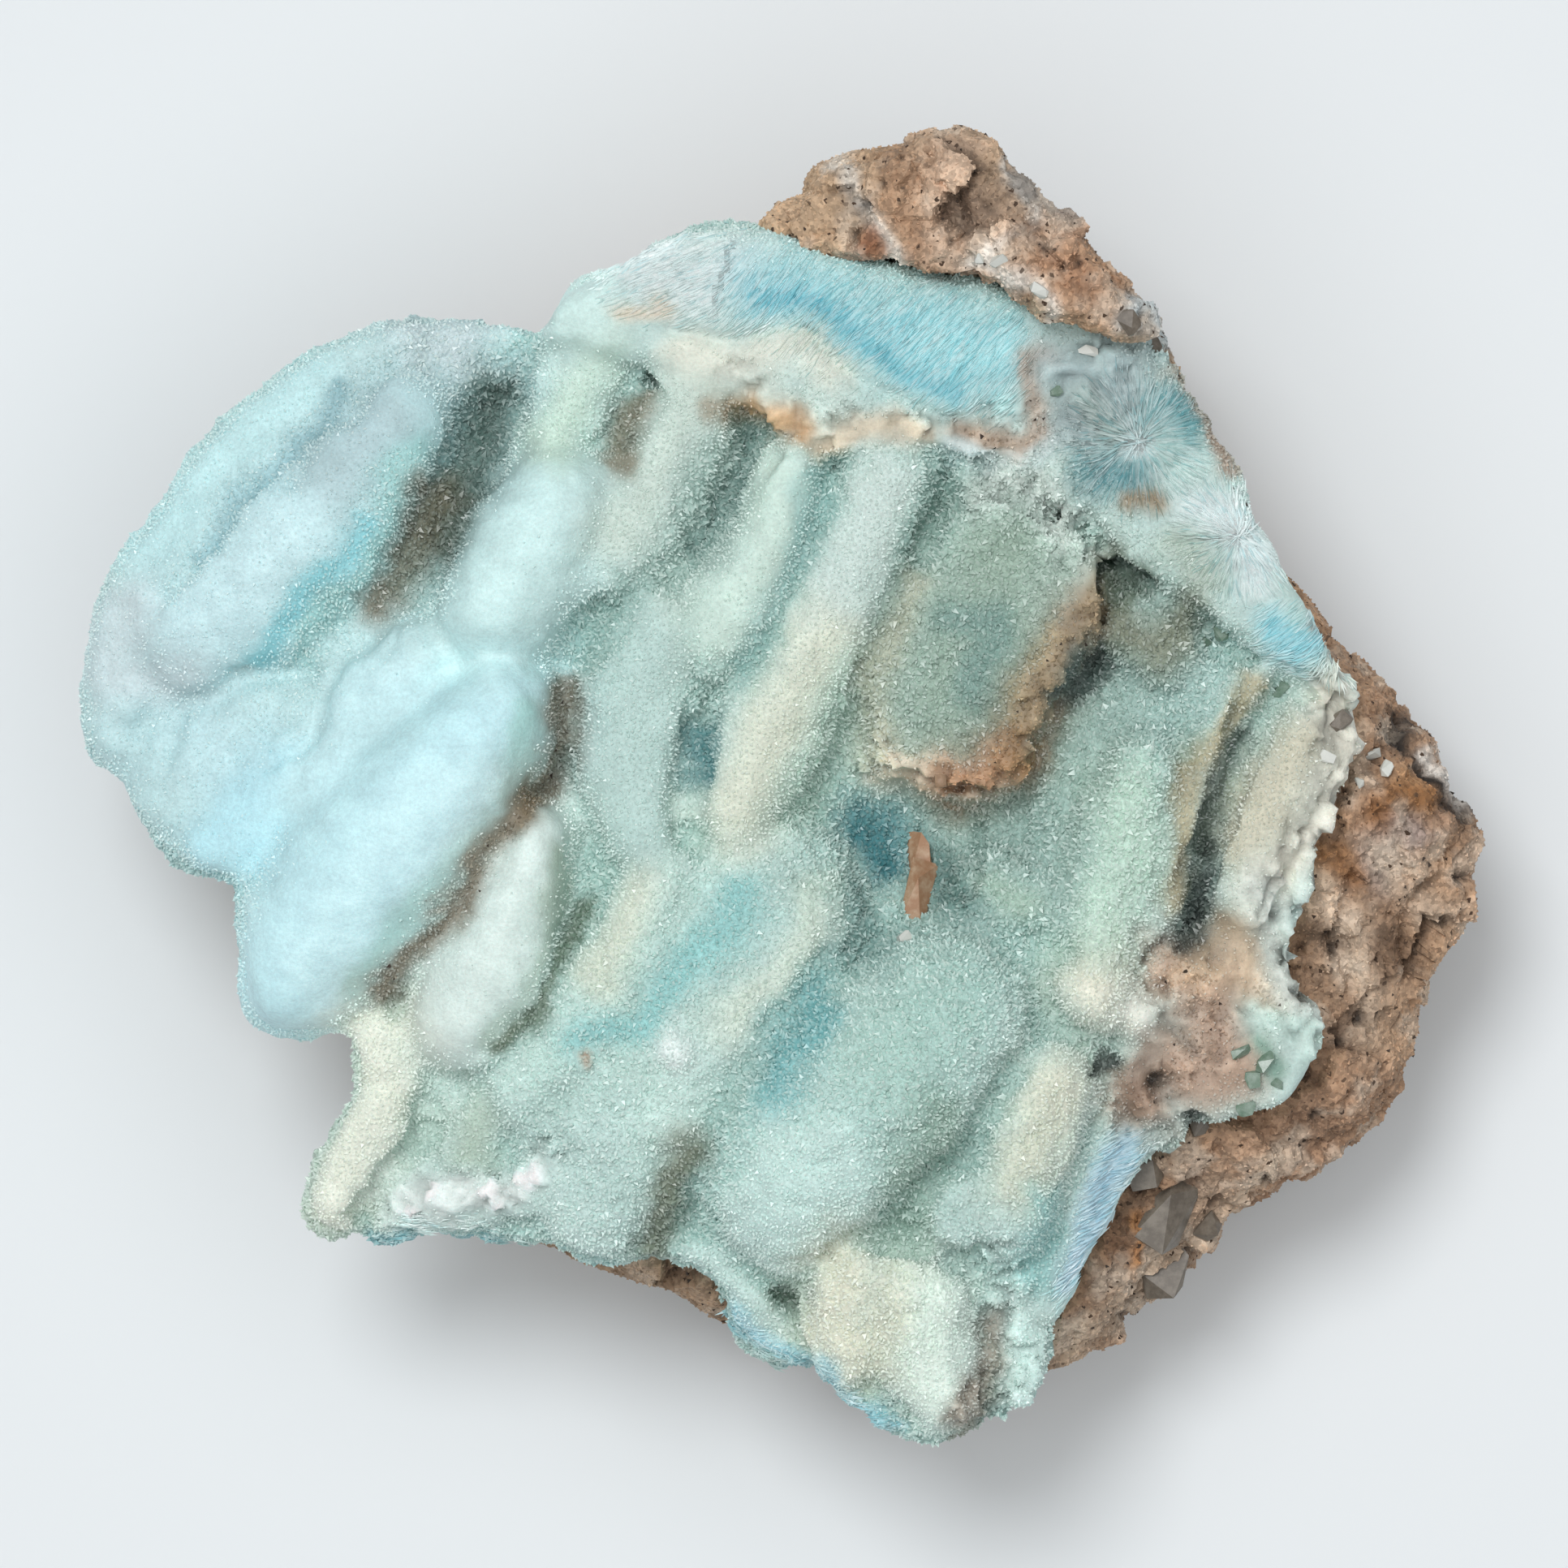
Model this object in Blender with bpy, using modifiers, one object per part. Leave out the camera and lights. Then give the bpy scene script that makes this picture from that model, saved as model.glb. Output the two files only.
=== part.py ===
"""A hand specimen of blue aragonite: a crust of rounded fingers grown over a slab of brown rock.

Lengths in the tables are millimetres. X runs to the right and Y away from the viewer who looks down on
the crust, +Z is up, and the origin is under the middle of the specimen, on the face that it rests on.
"""

import math

import bmesh
import bpy
from mathutils import Matrix, Vector, noise
from mathutils.geometry import delaunay_2d_cdt

MM = 0.001

# Driving sizes
CRUST_THICKNESS = 8.5  # of the crust between its fingers, on the left
THIN_CRUST_SHARE = 0.45  # what is left of that thickness at the broken right side
THINNING = (18, 42)  # where along X the crust starts to thin, and where it has thinned
ROCK_BELOW_LEVEL = 3.5  # how far below the crust's own level the rock's shoulder lies
CONTACT_GAP = 0.4  # left between the crust and the rock
FINE_VOXEL = 0.9  # grid on which overlapping shapes are fused into one skin
FUSED_SMOOTHING = 5  # rounds of smoothing that soften the creases between them
CRUST_ROUGHNESS = (0.7, 8)  # height and width of the crust's low lumps
ROCK_ROUGHNESS = (2.2, 17)  # the same for the rock, which broke more coarsely
CRUST_TRIANGLES = 6000
ROCK_TRIANGLES = 3200
SHOWN_FACET_WEIGHT = 0.35  # against 1 for hidden places, so that the shown ones keep smaller facets

# The level of the crust between its fingers: a low saddle, highest in the middle and towards the far side
LEVEL_MIDDLE = 34.5
LEVEL_SLOPE = (0.02, 0.05)
LEVEL_BEND = (0.0013, 0.0013)

# Each finger is a chain of balls (x, y, height of the middle above the level, radius), swept into one
# shape, then flattened to the share given first. They run from the far left to the near right.
FINGERS = {
    "fan_outer_rib": (0.55, [(-25, 34.6, -0.5, 5), (-33, 34, -0.5, 6.4), (-40.6, 30, -0.5, 6.8),
                             (-46.8, 24.2, -0.5, 6.6), (-51.8, 18.4, -1, 5.2)]),
    "fan_middle_rib": (0.8, [(-29.6, 32.6, 0.8, 4.4), (-35.4, 27.4, 2, 6), (-41, 21, 2.4, 6.8),
                             (-46, 15, 2, 7), (-50, 9.8, 0.4, 5.8)]),
    "fan_middle_shoulder": (0.75, [(-28.4, 27.6, 0.2, 3.8), (-32.4, 21, 1.6, 5.2), (-37, 14.2, 1.8, 5.6),
                                   (-41.6, 9, 0.8, 5.2)]),
    "fan_rim": (0.7, [(-54, 17, -1.5, 4.8), (-55.8, 11, -2, 5.2), (-56, 5, -1.5, 5)]),
    "fan_near_lobe": (0.8, [(-49, 5, -0.8, 4.6), (-51.2, 1, 0.2, 5.8), (-49.6, -3, -0.2, 5.2)]),
    "fan_inner_lobe": (0.8, [(-41.5, 2, -0.6, 4.8), (-44.4, -2.8, -0.2, 5.6)]),
    "fan_floor": (0.4, [(-36.5, 11, 0, 7), (-45.5, 5.5, -0.5, 8)]),
    "egg": (0.95, [(-18.4, 26.2, 1, 4.4), (-21.2, 20.2, 2.2, 6.8), (-24.2, 14.2, 1.6, 6.6)]),
    "shoulder": (0.75, [(-31, 11.5, 0.5, 5), (-36, 7, 1.6, 6), (-39.4, 0.6, 1.2, 5.8), (-41, -4.5, 0, 4.8)]),
    "great_finger": (0.9, [(-23, 6.8, 1, 6), (-28.4, 1, 2.2, 7.8), (-34.6, -5.6, 2.4, 8.3),
                           (-39.8, -11.8, 1.4, 7.5), (-42, -16.6, 0.6, 5.8)]),
    "lean_finger": (0.9, [(-20.5, -5, 0.8, 3.8), (-22.4, -10, 1.4, 5), (-26, -15.8, 1.6, 5.5),
                          (-28.8, -21, 1, 4.9)]),
    "lean_finger_foot": (0.5, [(-17.5, -11.5, 0, 4), (-24, -24, 0, 4.5), (-28, -30, 0, 4)]),
    "edge_knuckle": (0.8, [(-33, -20.5, -0.5, 4.2), (-33.4, -24.5, -0.5, 4.2)]),
    "corner_finger": (0.85, [(-32, -26.5, -0.5, 4), (-36.2, -32.2, -0.5, 4.1), (-39.2, -36.8, -1, 3.1)]),
    "corner_ridge": (0.85, [(-25.6, -28, 0, 4), (-30, -34.4, -0.5, 3.6), (-34.4, -37.6, -1, 2.6)]),
    "broken_ridge": (1.0, [(-31.6, -36.2, 0.6, 1.8), (-27, -36.6, 1.6, 2.7), (-21.5, -33.4, 2.4, 3.4)]),
    "saddle_left": (0.8, [(-8.4, -8.6, 1, 6.4), (-14, -14.2, 1.8, 7.2), (-18.6, -20.6, 1.6, 6.8),
                          (-21.8, -26.6, 1, 5.4)]),
    "saddle_floor": (0.5, [(-3, -9, 0.6, 8), (-10.5, -18.5, 1.2, 9), (-16, -30, 0.8, 8.5)]),
    "saddle_right": (0.9, [(2.8, -9.6, 1.8, 4.6), (-2.6, -15, 2, 5.8), (-8.4, -22.6, 2, 6.8),
                           (-12.6, -30, 1.4, 7.4), (-15, -35.6, 0.4, 6.4)]),
    "great_dome": (0.9, [(15.6, -18.6, 0.8, 8.4), (10, -24.8, 1.8, 10.2), (4, -31, 1.8, 9.9),
                         (0.4, -35.4, 0.8, 7.8)]),
    "dome_flank": (0.85, [(20, -22, 1, 7.6), (15, -31, 2, 9), (9.4, -38, 1.6, 7.4)]),
    "cream_ridge": (0.85, [(25, -24.5, 1, 5), (22, -33, 1.8, 5.6), (18, -40.5, 1.4, 6)]),
    "near_lobe": (0.75, [(6.6, -43.4, 1.6, 6), (8.8, -47, 2.2, 7.4), (12.8, -51.6, 0.8, 5.6)]),
    "near_lobe_flank": (0.75, [(15, -43, 1.4, 7), (17, -48.6, 0.8, 6.2)]),
    "curtain": (0.8, [(-15, 40, 2, 4.8), (-18, 33.6, 1, 4.8), (-19.4, 29, 0, 3.8)]),
    "upper_column": (1.0, [(-6.5, 30.5, 1.6, 4.2), (-10.2, 24.5, 0.8, 4.6), (-12.6, 18.4, 0, 4.2)]),
    "lower_column": (0.9, [(-9.6, 13.4, 0, 4.6), (-11.8, 7, 0.8, 5), (-13.4, 0.4, 0, 4.8),
                           (-11.6, -3.5, -0.2, 4.2)]),
    "drip": (1.0, [(3, 26, 0.6, 3.6), (-1.8, 18.8, 1, 4.1), (-5.6, 12.8, 1.2, 3.8)]),
    "long_ridge": (0.9, [(11.6, 25, 1, 4.8), (6.8, 17.4, 1, 5.2), (2.2, 10.2, 1, 5.3),
                         (-1.6, 3.4, 1, 5.2), (-4.2, -1, 0.4, 4.6)]),
    "basin_ridge": (0.9, [(35.6, 9, 0.5, 4), (32.6, 1.4, 1.2, 4.4), (30, -5.4, 1.2, 4.6),
                          (28.6, -11, 0.5, 4.4)]),
    "basin_bank": (0.5, [(32, 11, -1, 6), (26.5, 1.6, -1.6, 7.5), (23.6, -8, -1.2, 7)]),
    "knob": (1.0, [(26.4, -16.8, 1.8, 3.6), (26.6, -17.8, 2.4, 3.6)]),
    "small_knob": (1.0, [(29.8, -19.2, 2, 2.2), (30.2, -19.6, 2.2, 2.2)]),
    "outer_ridge": (0.9, [(46.6, 7, -0.5, 3.4), (44.2, 0.6, 0, 4), (41.6, -6.6, 0, 4), (40.2, -13, -1, 4)]),
    "pitted_bank": (0.6, [(36, -18.5, -0.5, 6), (32.5, -25, -0.5, 6), (40, -22.5, -0.5, 6)]),
}

# Dips in the sheet between the fingers: the two ends of the middle line, its reach to either side, its depth
HOLLOWS = {
    "fan_valley": ((-25, 33), (-34.5, 9), 3, 4),
    "great_finger_lee": ((-17.6, 7), (-25.5, -10), 2.6, 4),
    "basin": ((20, 1), (17, -9), 7, 7),
    "basin_head": ((31, 14), (26, 6), 4, 4),
    "slot": ((40.6, 7), (35.2, -12.5), 2.2, 6),
    "dome_lee": ((3, -11), (-7.5, -35), 3, 3.5),
    "column_foot": ((-7, 6), (-8.6, -4.6), 2.2, 3),
    "near_pit": ((-1, -42), (2, -45), 2.4, 3),
    "under_curtain": ((-13, 34), (-14.4, 26.6), 2.2, 4),
    "ledge_shade": ((-3, 29), (16, 25), 3, 3),
    "band_shade": ((26, 19), (40, 9), 3, 4),
}

# Flat broken pieces that jut over what lies below: outline, height of the top face above the level, its
# rise per mm along X, and thickness. Each thin lip stands on a thicker core set back from its free edge.
JUTTING = {
    "ledge_lip": ([(-21.6, 38), (-19, 42.2), (-14.4, 44), (-12, 46.2), (-5, 48.6), (-2.2, 48.8), (0, 46.8),
                   (1.6, 44.2), (8, 43.6), (15, 42), (20, 41.6), (28, 39.6), (33.6, 36.6), (36, 32),
                   (39.5, 26), (44, 17.2), (48, 10.4), (44.6, 8.4), (37, 14.2), (28.4, 19.6), (23, 25),
                   (19.6, 28.4), (15, 27.4), (11.4, 29.4), (6, 28.6), (1.7, 27.9), (-2, 30.8), (-5.4, 33.2),
                   (-10.6, 33.4), (-11.8, 38.8), (-17, 36)], 5.6, -0.05, 3.6),
    "ledge_core": ([(-18, 41), (-12, 44), (-4, 46), (15, 41.6), (28, 39), (34, 34), (39, 25), (43, 16),
                    (37, 17.4), (29, 22.8), (20, 31), (9, 32), (0, 33.6), (-9, 37)], 4, -0.05, 8),
    "plate_lip": ([(16.4, 25), (22.5, 22.4), (27.4, 18.8), (27.6, 14.2), (25, 9.4), (22.8, 4.4), (19.2, 0.6),
                   (15, -0.8), (8.4, 2), (6.8, 7.4), (8, 15), (12.2, 20.4)], 3.6, 0.13, 3),
    "plate_core": ([(14, 23), (22, 20), (24, 14), (19.5, 7), (13, 5), (11, 14)], 2.6, 0.13, 7),
}

# The sheet from which the fingers stand
CRUST_OUTLINE = [
    (-22, 37), (-28.4, 38), (-37.5, 36.2), (-44.5, 29.4), (-50, 21.6), (-54.6, 14), (-56, 6), (-52.6, -1),
    (-47.5, -5), (-42, -5.6), (-39, -15), (-35.4, -20), (-33.4, -27), (-36, -34), (-33.4, -37.6),
    (-22.8, -40), (-8, -41.8), (-1, -46), (7, -50.6), (13.4, -55), (16, -56.4), (19.2, -50.8), (22.7, -47.3),
    (24.8, -44.5), (28.3, -37.5), (30.4, -33.3), (38.8, -28.4), (45.1, -24.9), (47.9, -20.7),
    (44.4, -17.2), (42.6, -13), (44, -8.8), (46.1, -3.9), (48.4, 2.5), (48.8, 8), (44.2, 16.4), (39, 25.4),
    (35, 32.4), (33, 37.6), (22, 40), (2.4, 43), (-4.6, 47.8), (-12.3, 45.4), (-18.6, 41.4)]

# The rock: rounded slabs that overlap, each an outline, then its lowest and highest height and the rounding
# of its side. They are drawn level, and then settle towards the rim as the crust's level falls.
ROCK_SLABS = {
    "belt": ([(33.8, 38), (34.6, 33), (37.8, 28.8), (39.2, 23.6), (42.6, 17.8), (47.2, 13), (52, 8.2),
              (55.4, 4.4), (58.6, 0.4), (62.8, -3.2), (60.2, -7.8), (59.6, -11), (56.2, -15.4),
              (55.8, -19), (53.6, -23.8), (51.4, -27.8), (48.6, -31.6), (45.2, -34), (41.2, -35.4),
              (38.6, -37.6), (36.4, -40.8), (32.8, -44.6), (29.8, -47.8), (25.8, -50), (22.4, -53.4),
              (18.8, -57), (15.4, -57.6), (9.4, -53), (1, -48), (-6.7, -45.6), (-14.4, -42.4),
              (-22, -39), (-30, -34), (-33, -27), (-36, -19), (-40, -13), (-46.4, -10), (-50, 1),
              (-50, 11), (-43.5, 23.4), (-35.4, 31.6), (-25, 35), (-18.4, 40), (-12, 43), (-5, 45.6),
              (0.8, 47.6), (3, 52), (8, 54), (12.4, 56.4), (16, 57.2), (19.4, 53.2), (24, 49),
              (27, 44.8), (30.6, 41)], 7, 31, 9),
    "heart": ([(30, 33), (37, 22), (43, 12), (48, 5), (52, -1.5), (51, -8), (49, -16), (46, -22), (42, -27),
               (34, -30), (28, -38), (21, -45), (15, -50), (6, -44), (-8, -39), (-24, -34), (-30, -24),
               (-36, -10), (-42, 2), (-40, 16), (-32, 27), (-20, 35), (-4, 43), (16, 50)], -12, 32, 5),
}
SUMMIT_OUTLINE = [
    (-3.4, 47.6), (1.4, 49), (2.8, 52.6), (8, 54.2), (12.4, 56), (16, 56.6), (19.4, 52.8), (24, 48.6),
    (27, 44.6), (31.6, 40.4), (33.4, 38.4), (28.6, 39.8), (23.4, 40), (18.8, 42.6), (13.8, 43.2),
    (10.2, 45), (7, 44.8), (3.6, 45.4), (-0.6, 46.6)]
SUMMIT_HEIGHT = 46  # at the crest
SUMMIT_THICKNESS = 24
SUMMIT_CREST = ((13, 53), (24, 43))  # the line from which the summit falls away to either side
SUMMIT_FALL = 0.3  # mm of height lost for each mm away from that line

# Directions in which the rock broke off flat, and how far from its middle, clockwise from the right
ROCK_BREAKS = [
    ((1, 0.3, -0.6), 49),
    ((1, -0.1, -1.3), 35),
    ((1, -0.35, 0.9), 53),
    ((1, -0.55, -0.7), 50.5),
    ((0.8, -0.75, 0.7), 57.5),
    ((0.55, -1, -0.9), 44),
    ((0.1, -1, -0.5), 45.5),
    ((-0.2, -1, -1.5), 31),
    ((-0.7, -1, -0.8), 37),
    ((-1, -0.3, -1.1), 35),
    ((-1, 0.45, -0.9), 37.5),
    ((-0.6, 1, -0.9), 36),
    ((0, 1, -0.6), 45),
    ((0.2, 0.7, -1.6), 30),
    ((0.75, 1, -0.55), 47),
    ((0.95, 0.55, 0.45), 52.5),
]
BREAKS_MIDDLE = 18  # height of the point that the distances are measured from


def level(x, y):
    """Height of the crust's surface far from any finger or dip."""
    slope = LEVEL_SLOPE[0] * x + LEVEL_SLOPE[1] * y
    bend = LEVEL_BEND[0] * x * x + LEVEL_BEND[1] * y * y
    return LEVEL_MIDDLE + slope - bend


def dipped_level(x, y):
    """The level, lowered in the hollows between the fingers."""
    dip = 0
    for start, end, reach, depth in HOLLOWS.values():
        nearest = near_point(Vector((x, y)), Vector(start), Vector(end))
        dip = max(dip, depth * math.exp(-(((Vector((x, y)) - nearest).length / reach) ** 2)))
    return level(x, y) - dip


def near_point(place, start, end):
    """The point of the stretch from start to end that is nearest to place."""
    along = end - start
    share = (place - start).dot(along) / along.length_squared
    return start + along * min(max(share, 0), 1)


def start_clean():
    for old in list(bpy.data.objects):
        bpy.data.objects.remove(old)


def new_collection(name, hidden=False):
    made = bpy.data.collections.new(name)
    made.hide_render = hidden
    bpy.context.scene.collection.children.link(made)
    return made


def add_mesh(name, mesh, collection):
    made = bpy.data.objects.new(name, mesh)
    collection.objects.link(made)
    return made


def evaluated_copy(source):
    """The mesh of an object with its modifiers applied and its place in its vertices."""
    graph = bpy.context.evaluated_depsgraph_get()
    mesh = bpy.data.meshes.new_from_object(source.evaluated_get(graph))
    mesh.transform(source.matrix_world)
    return mesh


def smooth_spine(points, steps):
    """Points on a Catmull-Rom curve through the given ones."""
    ends = [points[0], *points, points[-1]]
    made = []
    for before, start, stop, after in zip(ends, ends[1:], ends[2:], ends[3:]):
        for step in range(steps):
            t = step / steps
            square = 2 * before - 5 * start + 4 * stop - after
            cube = 3 * start - before - 3 * stop + after
            made.append(0.5 * (2 * start + (stop - before) * t + square * t**2 + cube * t**3))
    return [*made, points[-1]]


def finger(name, flatness, chain, collection):
    """A finger with round ends, swept along its chain of balls."""
    steps = 5
    last_share = 0.985  # the round tip stops short of a point, which couldn't be capped
    spine = smooth_spine([Vector((x, y, (level(x, y) + up) / flatness, r)) for x, y, up, r in chain], steps)
    rounded = []
    for end, inner in ((spine[0], spine[1]), (spine[-1], spine[-2])):
        outwards = (end - inner).to_3d().normalized()
        cap = []
        for step in range(1, steps + 1):
            turn = step / steps * last_share * math.pi / 2
            place = end.to_3d() + outwards * end[3] * math.sin(turn)
            cap.append(Vector((*place, end[3] * math.cos(turn))))
        rounded.append(cap)
    spine = [*reversed(rounded[0]), *spine, *rounded[1]]
    curve = bpy.data.curves.new(name, "CURVE")
    curve.dimensions = "3D"
    curve.bevel_depth = MM
    curve.bevel_resolution = 5
    curve.use_fill_caps = True
    spline = curve.splines.new("POLY")
    spline.points.add(len(spine) - 1)
    for point, place in zip(spline.points, spine):
        point.co = (place[0] * MM, place[1] * MM, place[2] * MM, 1)
        point.radius = place[3]
    made = bpy.data.objects.new(name, curve)
    made.scale.z = flatness
    collection.objects.link(made)
    return made


def slab(name, outline, low, high, rounding, collection):
    """An outline extruded between two heights, with a rounded side that stays inside the outline."""
    curve = bpy.data.curves.new(name, "CURVE")
    curve.dimensions = "2D"
    curve.fill_mode = "BOTH"
    curve.bevel_depth = rounding * MM
    curve.bevel_resolution = 3
    curve.offset = -rounding * MM
    curve.extrude = (high - low) / 2 * MM - curve.bevel_depth
    spline = curve.splines.new("POLY")
    spline.points.add(len(outline) - 1)
    for point, (x, y) in zip(spline.points, outline):
        point.co = (x * MM, y * MM, 0, 1)
    spline.use_cyclic_u = True
    made = bpy.data.objects.new(name, curve)
    made.location.z = (low + high) / 2 * MM
    collection.objects.link(made)
    return made


def sheet(name, outline, top, thickness, collection, share=None):
    """A sheet that follows top(x, y), made solid downwards by the thickness times share(x, y)."""
    spacing = 2.5
    corners = [Vector(place) for place in outline]
    count = len(corners)
    rim = [(index, (index + 1) % count) for index in range(count)]
    steps = int(max(max(abs(x), abs(y)) for x, y in outline) / spacing)
    lines = range(-steps, steps + 1)
    inner = [Vector((i * spacing, j * spacing)) for i in lines for j in lines]
    points, _, faces, *_ = delaunay_2d_cdt(corners + inner, rim, [list(range(count))], 1, 0.01)
    used = sorted({index for face in faces for index in face})
    renumbered = {old: new for new, old in enumerate(used)}
    mesh = bpy.data.meshes.new(name)
    places = [(points[i][0] * MM, points[i][1] * MM, top(*points[i]) * MM) for i in used]
    mesh.from_pydata(places, [], [[renumbered[i] for i in face] for face in faces])
    made = add_mesh(name, mesh, collection)
    solid = made.modifiers.new("Thickness", "SOLIDIFY")
    solid.thickness = thickness * MM
    solid.offset = -1
    if share:
        group = made.vertex_groups.new(name="Thickness share")
        for index, old in enumerate(used):
            group.add([index], share(*points[old]), "REPLACE")
        solid.vertex_group = group.name
    return made


def fused(name, pieces, collection):
    """Overlapping closed pieces as one skin, with the creases between them softened."""
    gathered = bmesh.new()
    for piece in pieces:
        mesh = evaluated_copy(piece)
        gathered.from_mesh(mesh)
        bpy.data.meshes.remove(mesh)
    mesh = bpy.data.meshes.new(name)
    bmesh.ops.remove_doubles(gathered, verts=gathered.verts, dist=1e-5)
    gathered.to_mesh(mesh)
    gathered.free()
    made = add_mesh(name, mesh, collection)
    skin = made.modifiers.new("Skin", "REMESH")
    skin.mode = "VOXEL"
    skin.voxel_size = FINE_VOXEL * MM
    soft = made.modifiers.new("Soften", "SMOOTH")
    soft.factor = 0.5
    soft.iterations = FUSED_SMOOTHING
    made.data = evaluated_copy(made)
    made.modifiers.clear()
    return made


def roughen(target, height, width, offset):
    """Moves each point along its normal by a fractal pattern whose largest lumps have that width."""
    finer, ratio, octaves = 0.9, 2.1, 4
    normals = [vertex.normal.copy() for vertex in target.data.vertices]
    for vertex, normal in zip(target.data.vertices, normals):
        pattern = noise.fractal(vertex.co / (width * MM) + Vector(offset), finer, ratio, octaves)
        vertex.co += normal * pattern * height * MM


def swell(target, distance):
    """Moves every face outwards by the distance, and a sharp corner by no more than a few times that."""
    sharpest = 2.5
    work = bmesh.new()
    work.from_mesh(target.data)
    shares = [min(vertex.calc_shell_factor(), sharpest) for vertex in work.verts]
    moves = [vertex.normal * share * distance * MM for vertex, share in zip(work.verts, shares)]
    for vertex, move in zip(work.verts, moves):
        vertex.co += move
    work.to_mesh(target.data)
    work.free()


def chip(target, towards, plane_point):
    """Breaks the target off flat at the plane through a point (in metres) that faces `towards`."""
    work = bmesh.new()
    work.from_mesh(target.data)
    everything = work.verts[:] + work.edges[:] + work.faces[:]
    cut = bmesh.ops.bisect_plane(
        work, geom=everything, plane_co=plane_point, plane_no=towards, clear_outer=True)
    rim = [item for item in cut["geom_cut"] if isinstance(item, bmesh.types.BMEdge)]
    bmesh.ops.holes_fill(work, edges=rim)
    bmesh.ops.triangulate(work, faces=[face for face in work.faces if len(face.verts) > 4])
    work.to_mesh(target.data)
    work.free()


def thinned(target, triangles, hidden):
    """Fewer, larger facets, close to the number asked for, and largest where hidden(place) is true."""
    target.data.calc_loop_triangles()
    group = target.vertex_groups.new(name="Facet size")
    for vertex in target.data.vertices:
        group.add([vertex.index], 1 if hidden(vertex.co) else SHOWN_FACET_WEIGHT, "REPLACE")
    fewer = target.modifiers.new("Facets", "DECIMATE")
    fewer.vertex_group = group.name
    fewer.ratio = triangles / len(target.data.loop_triangles)
    target.data = evaluated_copy(target)
    target.modifiers.clear()
    target.vertex_groups.clear()


def largest_body(target):
    """Drops loose crumbs that a cut leaves beside the main body."""
    work = bmesh.new()
    work.from_mesh(target.data)
    left = set(work.verts)
    bodies = []
    while left:
        body, edge = set(), [left.pop()]
        while edge:
            vertex = edge.pop()
            body.add(vertex)
            near = {other for link in vertex.link_edges for other in link.verts} & left
            left -= near
            edge.extend(near)
        bodies.append(body)
    keep = max(bodies, key=len)
    bmesh.ops.delete(work, geom=[vertex for vertex in work.verts if vertex not in keep], context="VERTS")
    work.to_mesh(target.data)
    work.free()


def cut(target, cutter, operation):
    change = target.modifiers.new("Cut", "BOOLEAN")
    change.operation = operation
    change.object = cutter
    change.solver = "EXACT"
    target.data = evaluated_copy(target)
    target.modifiers.clear()


def material(name, colour, roughness):
    made = bpy.data.materials.new(name)
    made.use_nodes = True
    shader = made.node_tree.nodes["Principled BSDF"]
    shader.inputs["Base Color"].default_value = (*colour, 1)
    shader.inputs["Roughness"].default_value = roughness
    shader.inputs["Metallic"].default_value = 0
    return made


def crust_share(x, y):
    """The crust thins towards the side where it and the rock broke off together."""
    start, end = THINNING
    towards_right = min(max((x - start) / (end - start), 0), 1)
    return 1 - (1 - THIN_CRUST_SHARE) * towards_right


def build_crust(parts, guides):
    """The aragonite: a sheet with fingers, a broken ledge and a plate that jut from it, grown as one."""
    pieces = [sheet("crust_sheet", CRUST_OUTLINE, dipped_level, CRUST_THICKNESS, guides, crust_share)]
    for name, (flatness, chain) in FINGERS.items():
        pieces.append(finger(name, flatness, chain, guides))
    for name, (outline, up, rise, thickness) in JUTTING.items():
        middle = sum(x for x, _ in outline) / len(outline)
        pieces.append(
            sheet(name, outline, lambda x, y: level(x, y) + up + rise * (x - middle), thickness, guides))
    crust = fused("aragonite_crust", pieces, parts)
    roughen(crust, *CRUST_ROUGHNESS, (34.6, 10.2, 19.4))
    underside = 7  # mm below the level, where the rock hides the crust
    thinned(crust, CRUST_TRIANGLES, lambda at: at.z < (level(at.x / MM, at.y / MM) - underside) * MM)
    crust.data.materials.append(material("blue_aragonite", (0.62, 0.82, 0.84), 0.6))
    return crust


def build_rock(parts, guides, crust):
    """The brown rock under the crust, broken all round and flat where it rests."""
    slabs = [slab(name, *sizes, guides) for name, sizes in ROCK_SLABS.items()]
    start, end = (Vector(place) for place in SUMMIT_CREST)

    def summit_top(x, y):
        away = (Vector((x, y)) - near_point(Vector((x, y)), start, end)).length
        return SUMMIT_HEIGHT - SUMMIT_FALL * away

    slabs.append(sheet("summit", SUMMIT_OUTLINE, summit_top, SUMMIT_THICKNESS, guides))
    rock = fused("rock_matrix", slabs, parts)
    shoulder = LEVEL_MIDDLE - ROCK_BELOW_LEVEL
    for vertex in rock.data.vertices:
        share = min(max(vertex.co.z / (shoulder * MM), 0), 1)
        vertex.co.z += (level(vertex.co.x / MM, vertex.co.y / MM) - LEVEL_MIDDLE) * share * MM
    roughen(rock, *ROCK_ROUGHNESS, (17.3, 5.1, 9.7))
    for towards, distance in ROCK_BREAKS:
        way = Vector(towards).normalized()
        chip(rock, way, way * distance * MM + Vector((0, 0, BREAKS_MIDDLE * MM)))
    grown = add_mesh("crust_with_gap", crust.data.copy(), guides)
    swell(grown, CONTACT_GAP)
    thinned(rock, ROCK_TRIANGLES, lambda place: False)
    cut(rock, grown, "DIFFERENCE")
    largest_body(rock)
    chip(rock, Vector((0, 0, -1)), Vector((0, 0, 0)))
    rock.data.materials.append(material("brown_rock", (0.42, 0.28, 0.19), 0.85))
    return rock


def centre(parts):
    """Moves the specimen so that the origin is under the middle of it."""
    corners = [vertex.co for part in parts for vertex in part.data.vertices]
    middle = [(min(c[axis] for c in corners) + max(c[axis] for c in corners)) / 2 for axis in (0, 1)]
    lowest = min(c.z for c in corners)
    for part in parts:
        part.data.transform(Matrix.Translation((-middle[0], -middle[1], -lowest)))


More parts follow.
